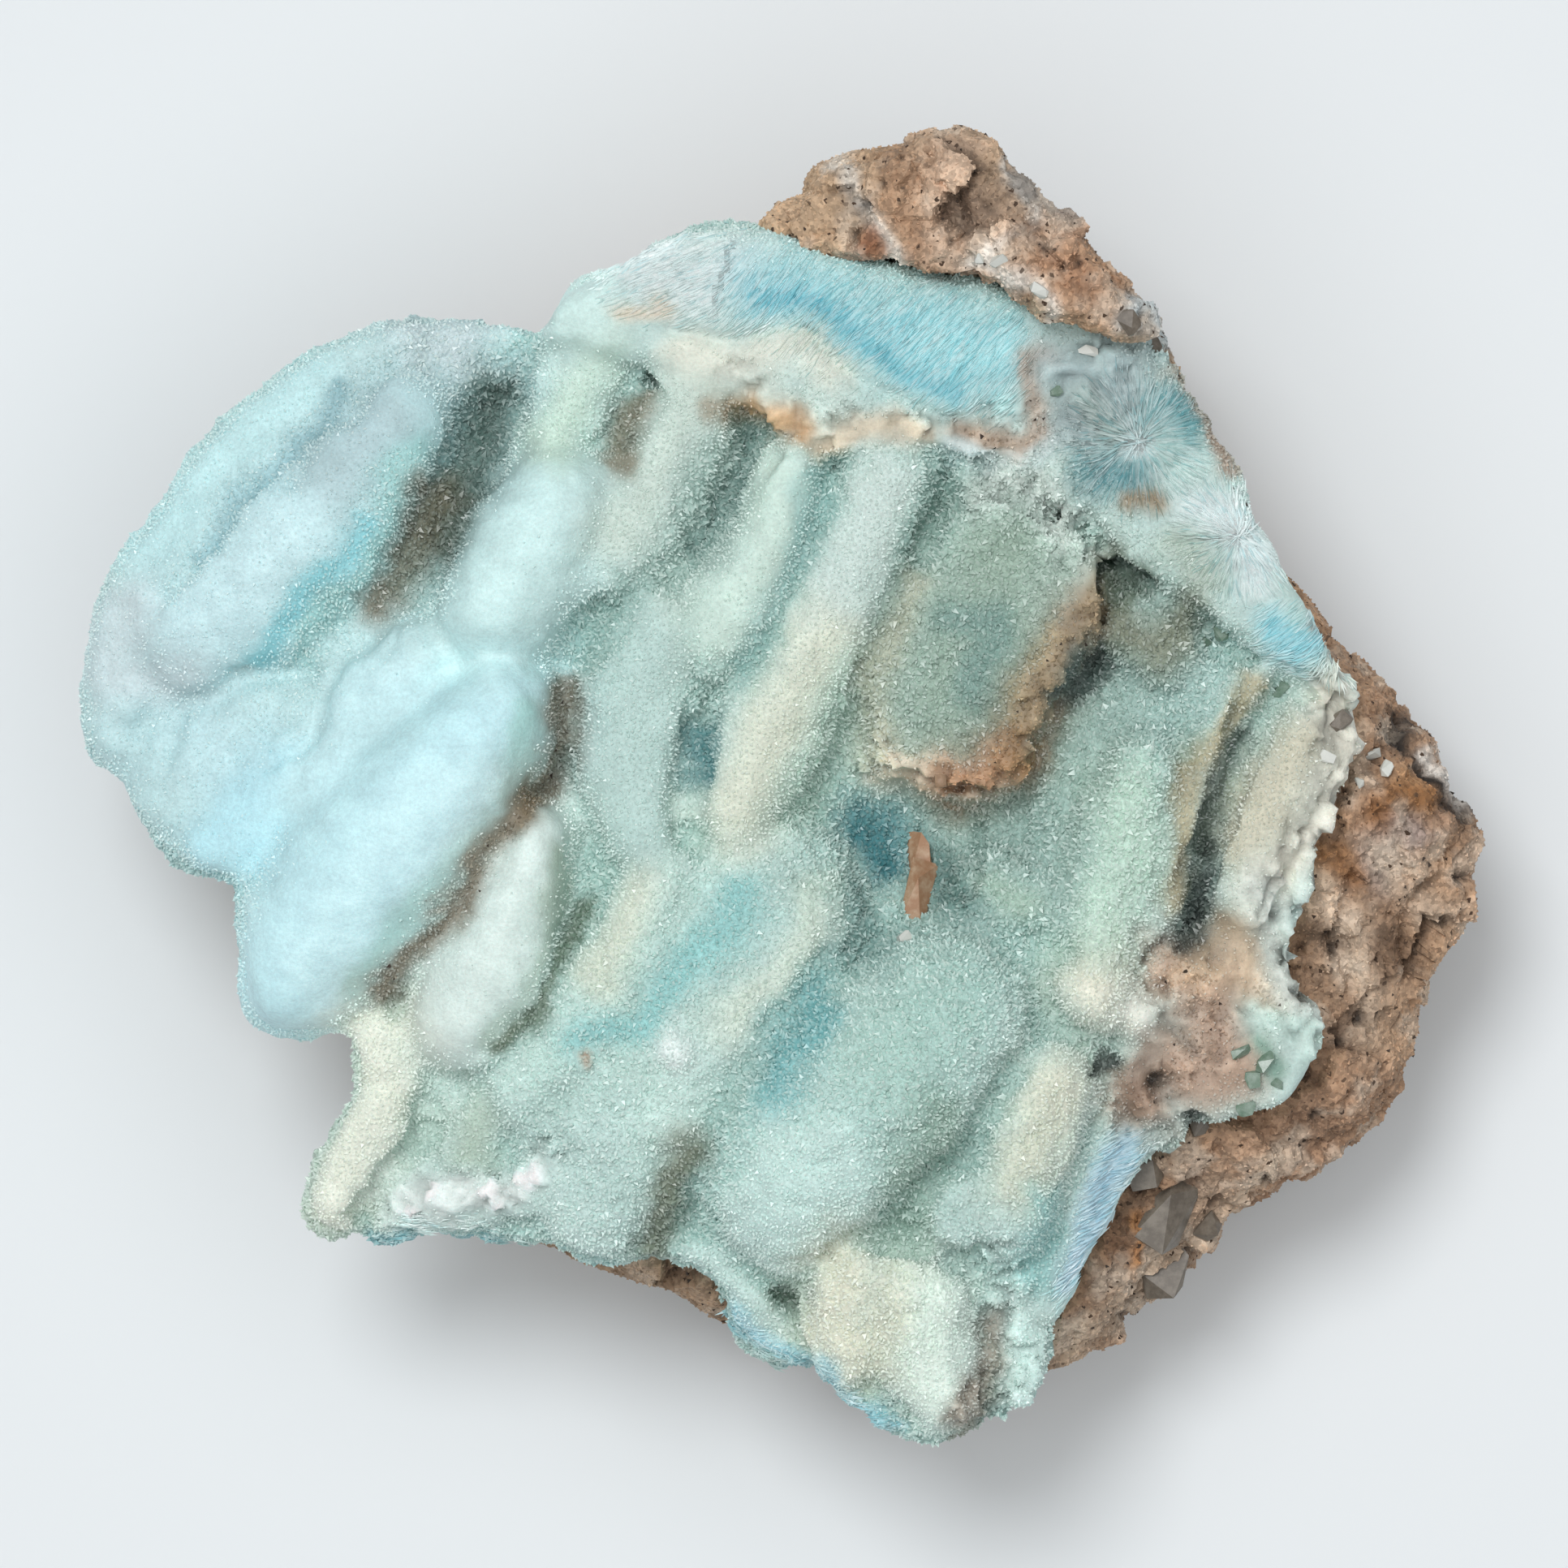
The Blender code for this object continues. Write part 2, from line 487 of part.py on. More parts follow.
def main():
    start_clean()
    parts = new_collection("blue_aragonite_specimen")
    guides = new_collection("guides", hidden=True)
    crust = build_crust(parts, guides)
    rock = build_rock(parts, guides, crust)
    centre([rock, crust])
    for guide in guides.objects:
        guide.hide_render = True
        guide.display_type = "WIRE"
    for part in (rock, crust):
        part.data.shade_smooth()
        part.data.set_sharp_from_angle(angle=math.radians(35))


main()
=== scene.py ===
"""A hand specimen of blue aragonite on its brown rock, lying on a pale table and seen from straight above.

Places in the tables are millimetres in the specimen's own frame: X to the right and Y up the picture, with
the origin under its middle. The sections run from the rock and the crust to the crystals, needles, sand and
blocks that stand on them, and end with the table, the light and the camera.
"""

import math

import bmesh
import bpy
import numpy as np
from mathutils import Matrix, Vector, noise
from mathutils.bvhtree import BVHTree


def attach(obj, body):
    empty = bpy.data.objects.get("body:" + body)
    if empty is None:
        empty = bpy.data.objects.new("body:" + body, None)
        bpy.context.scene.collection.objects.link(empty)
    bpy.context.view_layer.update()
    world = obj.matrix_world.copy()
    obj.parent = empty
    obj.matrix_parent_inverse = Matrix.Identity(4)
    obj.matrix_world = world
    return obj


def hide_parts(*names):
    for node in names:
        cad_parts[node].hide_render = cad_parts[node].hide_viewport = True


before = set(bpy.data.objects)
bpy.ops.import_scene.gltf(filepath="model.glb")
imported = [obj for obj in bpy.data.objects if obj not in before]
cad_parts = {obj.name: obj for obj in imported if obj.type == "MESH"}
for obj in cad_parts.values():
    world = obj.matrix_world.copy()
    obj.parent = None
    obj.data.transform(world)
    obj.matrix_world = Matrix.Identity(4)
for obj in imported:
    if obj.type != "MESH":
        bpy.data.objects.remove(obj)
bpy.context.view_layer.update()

MM = 0.001


# The rock: a slab of brown, sandy carbonate rock, broken all round, on which the blue crust grew. Grey and
# pale veins run through it, and its broken faces are gritty, with black iron and manganese specks.

ROCK_VOXEL = 0.62  # mm
ROCK_TRIANGLES = 90000  # the aim for the whole rock, which is thinned only where the crust hides it
ROCK_DEEPEST = 2.4  # mm, the most that its pits and cracks go in
ROCK_PAINT = {  # soft strokes of colour: reach in mm, and the line of the brush
    "summit": ("#bea386", 13, [(2, 48), (12, 52), (22, 44), (27, 40)]),
    "summit_pink": ("#c2a892", 3, [(15, 50), (17.4, 47.6), (12.6, 46), (14, 55)]),
    "summit_brown": ("#9a7a60", 2, [(9.6, 53), (9, 49.6), (11.4, 47)]),
    # painted shade along the foot of the summit, where the rock meets the crust
    "summit_foot_shade": ("#8a6a50", 0.9, [(-3, 47), (1, 46.4), (5, 45.4), (10, 45), (13, 43.4), (18.6, 42.6)]),
    "pale_vein": ("#d3cec5", 0.9, [(4.8, 54.3), (4.5, 52), (4.3, 50.2), (6, 49), (7.5, 47.5), (9.5, 45)]),
    "vein_grey": ("#77736f", 0.7, [(6.2, 49), (5.2, 48.8)]),
    "rust_spot": ("#75492f", 0.9, [(6, 45.8), (7, 46.2)]),
    # painted shade, darkest, at the summit's foot beside the crust
    "summit_foot_dark_shade": ("#54402f", 0.8, [(13.4, 43), (15, 42.8)]),
    "white_patch": ("#e2e0d9", 1, [(16, 45), (17.5, 46), (19, 44.5), (21, 43), (23, 41), (22.8, 39.9)]),
    "beige_patch": ("#cdbba1", 1, [(20.3, 40.6), (20.8, 40)]),
    "second_vein": ("#cbc6be", 0.6, [(19, 46), (20.4, 48.5), (19.5, 52), (19, 54)]),
    "dark_fold": ("#66503f", 0.6, [(20.2, 47.6), (20.6, 46.4)]),
    "smoky_calcite": ("#8f8e8b", 1.6, [(20.5, 52), (23, 49.5), (25.5, 48.5)]),
    "red_sand": ("#a67e62", 2.8, [(23, 45.6), (26, 42.6)]),
    "far_blue": ("#aab8bd", 1.6, [(30, 40.6), (33, 39)]),
    "right_flank": ("#a08168", 15, [(50, 4), (56, -6), (52, -20), (44, -34), (34, -46), (20, -56)]),
    "right_ochre": ("#ab8661", 1.5, [(53, 1), (54, -1)]),
    "inner_ochre": ("#a6805a", 1.3, [(47, -6), (46, -8)]),
    "grey_violet": ("#958c8d", 2, [(51.5, -6), (53, -4)]),
    "right_pale": ("#c6b29d", 2.2, [(46.5, -9), (48.6, -13), (50, -17), (51, -21)]),
    "right_sand": ("#b7977a", 2.4, [(56.4, -6), (56, -11), (53, -22)]),
    "right_dark": ("#5b4533", 1.4, [(52, -13.4), (53, -15)]),
    "inner_dark": ("#574433", 1.1, [(45, -11.6), (45.6, -13)]),
    "black_patch": ("#2a2522", 1, [(53, 6), (53.6, 4.4)]),
    "black_vein": ("#39322e", 0.5, [(54.5, 3), (56.5, 0), (59, -2.5)]),
    "white_skin": ("#d4d1cb", 0.6, [(55.8, 3), (57.8, 0.4), (60, -1.8)]),
    "lower_right": ("#977860", 5, [(45, -29), (39, -37), (30, -46)]),
    "lower_brown": ("#7c5e47", 1.7, [(28, -38), (27.6, -46)]),
    "lower_pale": ("#bda892", 1.6, [(42, -31.6), (36, -38), (24, -50)]),
    "orange_line": ("#b57f4c", 0.45, [(30, -38), (31, -43)]),
    "near_edge": ("#9a836d", 2.6, [(-22, -41), (-14, -43), (-6, -46), (0, -50)]),
    "near_end": ("#8a725e", 3, [(19, -50), (16, -56)]),
    "left_bit": ("#c1a88d", 6, [(-50, -6), (-45, -9), (-44, -12)]),
    "right_pale_far": ("#bfaa95", 1.7, [(51.5, -5.4), (54.5, -8), (56, -11)]),
    "right_rust": ("#855a32", 1.5, [(51.6, -1.6), (54, -0.6)]),
    "right_rust_left": ("#8a5f38", 1.3, [(47, -6), (48.4, -7.4)]),
    "black_rim": ("#1b1917", 0.9, [(52.6, 5.6), (53.2, 4)]),
    "black_rim_far": ("#1b1917", 0.8, [(55, 1.8), (57, -0.8), (58.8, -2)]),
}
ROCK_GROOVES = {  # cracks: width and depth in mm, and the line they follow
    "long_crack": (0.45, 1.1, [(12, 55), (13, 52.5), (14.5, 50.5), (15.2, 48)]),
    "short_crack": (0.4, 0.8, [(11.5, 52), (10.8, 50)]),
    "fold": (0.6, 1.1, [(20.4, 48), (20.2, 46), (21.4, 44)]),
    "black_gap": (0.9, 1.6, [(53, 6), (53.8, 4.4), (55.4, 1.6)]),
    "side_gap": (0.7, 1.3, [(55.6, -8.4), (53.4, -12), (54, -16)]),
    "lower_gap": (0.8, 1.3, [(44, -34.6), (40.4, -36), (37, -40.4)]),
    "flank_gap": (0.6, 1, [(49, -8), (47.4, -12), (49, -17), (47, -21)]),
}
ROCK_HOLES = {  # small solution pits: radius and depth in mm, and their places
    "right_holes": (0.6, 1.2, [(43.8, -8.5), (47.5, -14.2), (50, -20), (48, -22), (45, -24.9), (58.3, -7.8),
                               (55.3, -8.5), (57, -11.8)]),
    "lower_holes": (0.5, 1, [(41.4, -33.4), (35, -41), (30, -46.4), (26.6, -49.6), (45.8, -28.6)]),
    "summit_holes": (0.3, 0.6, [(10, 54), (14, 46.6), (16.4, 53), (22, 46), (25, 45), (8.4, 51.6),
                                (17, 49.6)]),
}


def linear(hex_colour):
    """An sRGB hex colour as linear red, green and blue."""
    parts = [int(hex_colour[i:i + 2], 16) / 255 for i in (1, 3, 5)]
    return np.array([p / 12.92 if p <= 0.04045 else ((p + 0.055) / 1.055) ** 2.4 for p in parts])


def eased(value, low, high):
    """0 below low, 1 above high and a smooth rise between."""
    t = np.clip((value - low) / (high - low), 0, 1)
    return t * t * (3 - 2 * t)


def line_distance(places, line):
    """How far each place is from a line, seen from above, in mm."""
    nearest = np.full(len(places), np.inf)
    starts = np.array(line, float)
    ends = np.roll(starts, -1, axis=0)[:-1] if len(line) > 1 else starts
    for start, end in zip(starts, ends):
        along = end - start
        length = max(along @ along, 1e-9)
        share = np.clip(((places[:, :2] - start) @ along) / length, 0, 1)
        nearest = np.minimum(nearest, np.linalg.norm(places[:, :2] - start - share[:, None] * along, axis=1))
    return nearest


def stroke(places, line, reach, power):
    """1 on a line and 0 well past its reach in mm, with a sharper edge for a higher power."""
    return np.exp(-((line_distance(places, line) / reach) ** power))


def spot_cover(places, spots, radius):
    """1 inside round spots and 0 outside them, with a narrow soft edge."""
    return sum(stroke(places, [spot], radius, 4) for spot in spots)


def noise_at(spot):
    """A noise vector that is the same in every run, which noise.noise_vector isn't."""
    shifts = ((0, 0, 0), (31.7, 5.3, -8.1), (-12.9, 44.3, 19.7))
    return Vector([noise.noise(spot + Vector(shift)) for shift in shifts])


def wandering(places, size, amount, offset):
    """Places shifted sideways by slow noise, so that a painted edge isn't a smooth line."""
    moved = places.copy()
    shifts = [noise_at(Vector(place) / size + Vector((offset, 0, 0))) for place in places]
    moved[:, :2] += np.array(shifts)[:, :2] * amount
    return moved


def tinted(colours, paint, cover):
    """Colours moved towards a paint, by a share for each place."""
    return colours + (linear(paint) - colours) * cover[:, None]


def brushed(places, ground, strokes):
    """A colour for every place: the ground, then each soft stroke over it."""
    colours = np.tile(linear(ground), (len(places), 1))
    for paint, reach, line in strokes.values():
        colours = tinted(colours, paint, 0.85 * stroke(places, line, 1.08 * reach, 2.4))
    return colours


def places_of(mesh):
    """The points of a mesh in mm."""
    flat = np.empty(len(mesh.vertices) * 3, np.float32)
    mesh.vertices.foreach_get("co", flat)
    return flat.reshape(-1, 3).astype(float) / MM


def normals_of(mesh):
    """The way that each point of a mesh faces."""
    flat = np.empty(len(mesh.vertices) * 3, np.float32)
    mesh.vertex_normals.foreach_get("vector", flat)
    return flat.reshape(-1, 3).astype(float)


def set_places(mesh, places):
    """Moves the points of a mesh to places in mm."""
    mesh.vertices.foreach_set("co", (places * MM).astype(np.float32).ravel())
    mesh.update()


def set_attribute(mesh, name, values):
    """Stores a number, a vector or a colour for each point of the mesh."""
    kinds = {1: ("FLOAT", "value"), 3: ("FLOAT_VECTOR", "vector"), 4: ("FLOAT_COLOR", "color")}
    values = np.asarray(values, np.float32)
    width = 1 if values.ndim == 1 else values.shape[1]
    kind, field = kinds[width]
    made = mesh.attributes.new(name, kind, "POINT")
    made.data.foreach_set(field, values.ravel())


def with_alpha(colours):
    """Colours with a fourth, opaque channel."""
    return np.hstack([np.clip(colours, 0, 1), np.ones((len(colours), 1))])


def applied(target):
    """Bakes the target's modifiers into its mesh."""
    graph = bpy.context.evaluated_depsgraph_get()
    mesh = bpy.data.meshes.new_from_object(target.evaluated_get(graph))
    target.modifiers.clear()
    target.data = mesh
    return mesh


def evened(target, voxel, rounds):
    """Builds the target's mesh anew on an even grid of that many mm, and smooths it."""
    skin = target.modifiers.new("Skin", "REMESH")
    skin.mode = "VOXEL"
    skin.voxel_size = voxel * MM
    soft = target.modifiers.new("Soften", "SMOOTH")
    soft.factor = 0.5
    soft.iterations = rounds
    return applied(target)


def new_object(name, data):
    """A mesh, lamp or camera as an object in the scene."""
    made = bpy.data.objects.new(name, data)
    bpy.context.scene.collection.objects.link(made)
    return made


def fine_copy(node, name, voxel, rounds):
    """A node's shape on a fine even grid, with its flat facets smoothed away."""
    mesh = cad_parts[node].data.copy()
    merged = bmesh.new()
    merged.from_mesh(mesh)
    bmesh.ops.remove_doubles(merged, verts=merged.verts, dist=1e-6)
    merged.to_mesh(mesh)
    merged.free()
    made = new_object(name, mesh)
    evened(made, voxel, rounds).name = name
    return made


def search_tree(mesh):
    """A tree of the mesh's faces, for finding what a ray meets."""
    return BVHTree.FromPolygons([v.co for v in mesh.vertices], [tuple(p.vertices) for p in mesh.polygons])


def hidden_by(mesh, node, way, reach, spare):
    """1 where a point faces up (way 1) or down (way -1) and the node lies within reach that way, also for
    rays that start `spare` mm beside it on all four sides."""
    tree = search_tree(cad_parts[node].data)
    sides = [Vector(side) * MM for side in ((spare, 0, 0), (-spare, 0, 0), (0, spare, 0), (0, -spare, 0))]
    covered = []
    for place, facing in zip(places_of(mesh), normals_of(mesh)[:, 2] * way > 0.1):
        starts = [Vector(place * MM) + side for side in sides]
        covered.append(facing and all(tree.ray_cast(start, (0, 0, way), reach * MM)[0] for start in starts))
    return np.array(covered, float)


def thinned(target, hidden, triangles):
    """Larger facets where the mask `hidden` is 1 and nowhere else, with that many triangles as the aim."""
    group = target.vertex_groups.new(name="Hidden")
    group.add([int(index) for index in np.flatnonzero(hidden > 0.5)], 1.0, "REPLACE")
    fewer = target.modifiers.new("Fewer", "DECIMATE")
    fewer.vertex_group = group.name
    fewer.ratio = min(1, triangles / sum(len(face.vertices) - 2 for face in target.data.polygons))
    applied(target)
    target.vertex_groups.clear()


def fractal(places, size, octaves, offset):
    """Fractal noise whose largest lumps are `size` mm across, about -1 to 1."""
    shift = Vector((offset, offset * 0.37, -offset))
    return np.array([noise.fractal(Vector(place) / size + shift, 0.9, 2.1, octaves) for place in places])


def lumps(places, size, offset):
    """Rounded cells `size` mm across: 1 in the middle of each and 0 in the creases between them."""
    shift = Vector((offset, -offset, offset * 0.5))
    cells = [noise.voronoi(Vector(place) / size + shift)[0] for place in places]
    near = np.array([cell[0] for cell in cells])
    second = np.array([cell[1] for cell in cells])
    return np.clip((second - near) * 1.6, 0, 1)


def broken(places, size, offset):
    """Broken faces `size` mm across: each cell is a small flat face, tilted and set back by chance."""
    shift = Vector((offset, -offset, offset * 0.5))
    heights = []
    for place in places:
        spot = Vector(place) / size + shift
        middle = noise.voronoi(spot)[1][0]
        tilt = noise_at(middle * 7.7)
        heights.append(tilt.dot(spot - middle) * 1.6 + noise.noise(middle * 5.3) * 0.6)
    return np.array(heights) * size


def add_node(tree, kind, settings=None, links=None):
    """Adds a node, sets its own options and unlinked values, and links the rest by socket name."""
    node = tree.nodes.new(kind)
    for key, value in (settings or {}).items():
        setattr(node, key, value)
    for key, value in (links or {}).items():
        sockets = [socket for socket in node.inputs if socket.enabled]
        socket = sockets[key] if isinstance(key, int) else next(s for s in sockets if s.name == key)
        if isinstance(value, bpy.types.NodeSocket):
            tree.links.new(value, socket)
        else:
            socket.default_value = value
    return node


def new_material(name, roughness, ior):
    """A Principled material, its shader node and its tree."""
    made = bpy.data.materials.new(name)
    made.use_nodes = True
    shader = made.node_tree.nodes["Principled BSDF"]
    shader.inputs["Roughness"].default_value = roughness
    shader.inputs["IOR"].default_value = ior
    return made, shader, made.node_tree


# Where the crust hides it the rock keeps the CAD's shape, in larger facets, and its foot stays flat.
rock = fine_copy("rock_matrix", "brown_rock", ROCK_VOXEL, 3)
thinned(rock, hidden_by(rock.data, "aragonite_crust", way=1, reach=8, spare=4), ROCK_TRIANGLES)
rock_places = places_of(rock.data)
rock_normals = normals_of(rock.data)
uncovered = 1 - hidden_by(rock.data, "aragonite_crust", way=1, reach=8, spare=0.5)
free = uncovered * eased(rock_places[:, 2], 0.3, 3)
faces = (0.3 * broken(rock_places, 6, 3) + 0.34 * broken(rock_places, 2.4, 8)
         + 0.26 * broken(rock_places, 1.1, 2))
relief = faces + 0.16 * fractal(rock_places, 1.1, 3, 5)
cracked = wandering(rock_places, 3, 0.8, 2)
for width, depth, line in ROCK_GROOVES.values():
    relief -= depth * stroke(cracked, line, width, 2)
for radius, depth, spots in ROCK_HOLES.values():
    relief -= depth * spot_cover(rock_places, spots, radius)
outward = 0.4 + 0.7 * eased(rock_normals[:, 2], 0, 0.5)  # mm, less on the slab's sides than on its top
moved = np.clip(relief, -ROCK_DEEPEST, outward) * free
set_places(rock.data, rock_places + rock_normals * moved[:, None])

rock_drift = wandering(wandering(rock_places, 4, 1.6, 7), 1.2, 0.6, 4)
rock_colours = brushed(rock_drift, "#a3876c", ROCK_PAINT)
# Raised broken faces are painted lighter and set-back ones darker: painted light and shade.
rock_colours *= (1.03 + 0.22 * np.clip(faces / 0.8, -1.6, 1))[:, None]
pale_sand = 0.5 * eased(fractal(rock_places, 3.6, 3, 17), 0.1, 0.55)
rock_colours = tinted(rock_colours, "#d5c6b4", pale_sand)
# The deepest set-back faces are painted dark brown: painted shade in the crevices.
painted_crevice_shade = 0.6 * eased(faces, -0.5, -1.3)
rock_colours = tinted(rock_colours, "#4f3c2d", painted_crevice_shade)
# The pits are painted nearly black: painted shade inside them.
for radius, _, spots in ROCK_HOLES.values():
    pit_shade = np.clip(spot_cover(rock_places, spots, radius), 0, 1)
    rock_colours = tinted(rock_colours, "#2a2421", 0.9 * pit_shade)
set_attribute(rock.data, "tint", with_alpha(rock_colours))
set_attribute(rock.data, "grit", free * (0.6 + 0.4 * fractal(rock_places, 3, 2, 9)))

# Sandy broken rock: matt, speckled with ochre, brown and black grains a third of a millimetre across, which
# makes it look dry and granular beside the sugary crust.
sandy_rock, rock_shader, nodes = new_material("sandy_broken_rock", 0.85, 1.55)
place = add_node(nodes, "ShaderNodeTexCoord").outputs["Object"]
tint = add_node(nodes, "ShaderNodeAttribute", {"attribute_name": "tint"}).outputs["Color"]
blotch = add_node(nodes, "ShaderNodeTexNoise", links={
    "Vector": place, "Scale": 1 / (2.4 * MM), "Detail": 5.0, "Roughness": 0.7}).outputs["Fac"]
blotch_tone = add_node(nodes, "ShaderNodeMapRange", links={
    "Value": blotch, "From Min": 0.3, "From Max": 0.7, "To Min": 0.74, "To Max": 1.24}).outputs["Result"]
toned = add_node(nodes, "ShaderNodeVectorMath", {"operation": "SCALE"}, {
    0: tint, "Scale": blotch_tone}).outputs["Vector"]
speck = add_node(nodes, "ShaderNodeTexVoronoi", {"feature": "F1"}, {
    "Vector": place, "Scale": 1 / (0.36 * MM), "Randomness": 1.0})
speck_tone = add_node(nodes, "ShaderNodeSeparateColor", links={"Color": speck.outputs["Color"]})
grain_tone = add_node(nodes, "ShaderNodeMapRange", links={
    "Value": speck_tone.outputs["Red"], "To Min": 0.7, "To Max": 1.28}).outputs["Result"]
grained = add_node(nodes, "ShaderNodeVectorMath", {"operation": "SCALE"}, {
    0: toned, "Scale": grain_tone}).outputs["Vector"]
dark_share = add_node(nodes, "ShaderNodeMapRange", links={
    "Value": speck_tone.outputs["Green"], "From Min": 0.97, "From Max": 0.99}).outputs["Result"]
dark_mix = add_node(nodes, "ShaderNodeMix", {"data_type": "RGBA"}, {
    "Factor": dark_share, "A": grained, "B": (*linear("#4a382a"), 1)}).outputs["Result"]
nodes.links.new(dark_mix, rock_shader.inputs["Base Color"])
grit = add_node(nodes, "ShaderNodeTexNoise", links={
    "Vector": place, "Scale": 1 / (0.45 * MM), "Detail": 3.0}).outputs["Fac"]
rough_grit = add_node(nodes, "ShaderNodeBump", links={
    "Strength": 0.6, "Distance": 0.25 * MM, "Height": grit}).outputs["Normal"]
nodes.links.new(rough_grit, rock_shader.inputs["Normal"])
rock.data.materials.clear()
rock.data.materials.append(sandy_rock)
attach(rock, "root")
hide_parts("rock_matrix")


# The crust: blue aragonite that grew over the rock as one skin of rounded fingers. Smooth lobes are pale
# ice blue, the valleys are grey-green and sugary, and it is silky and fibrous where it broke.

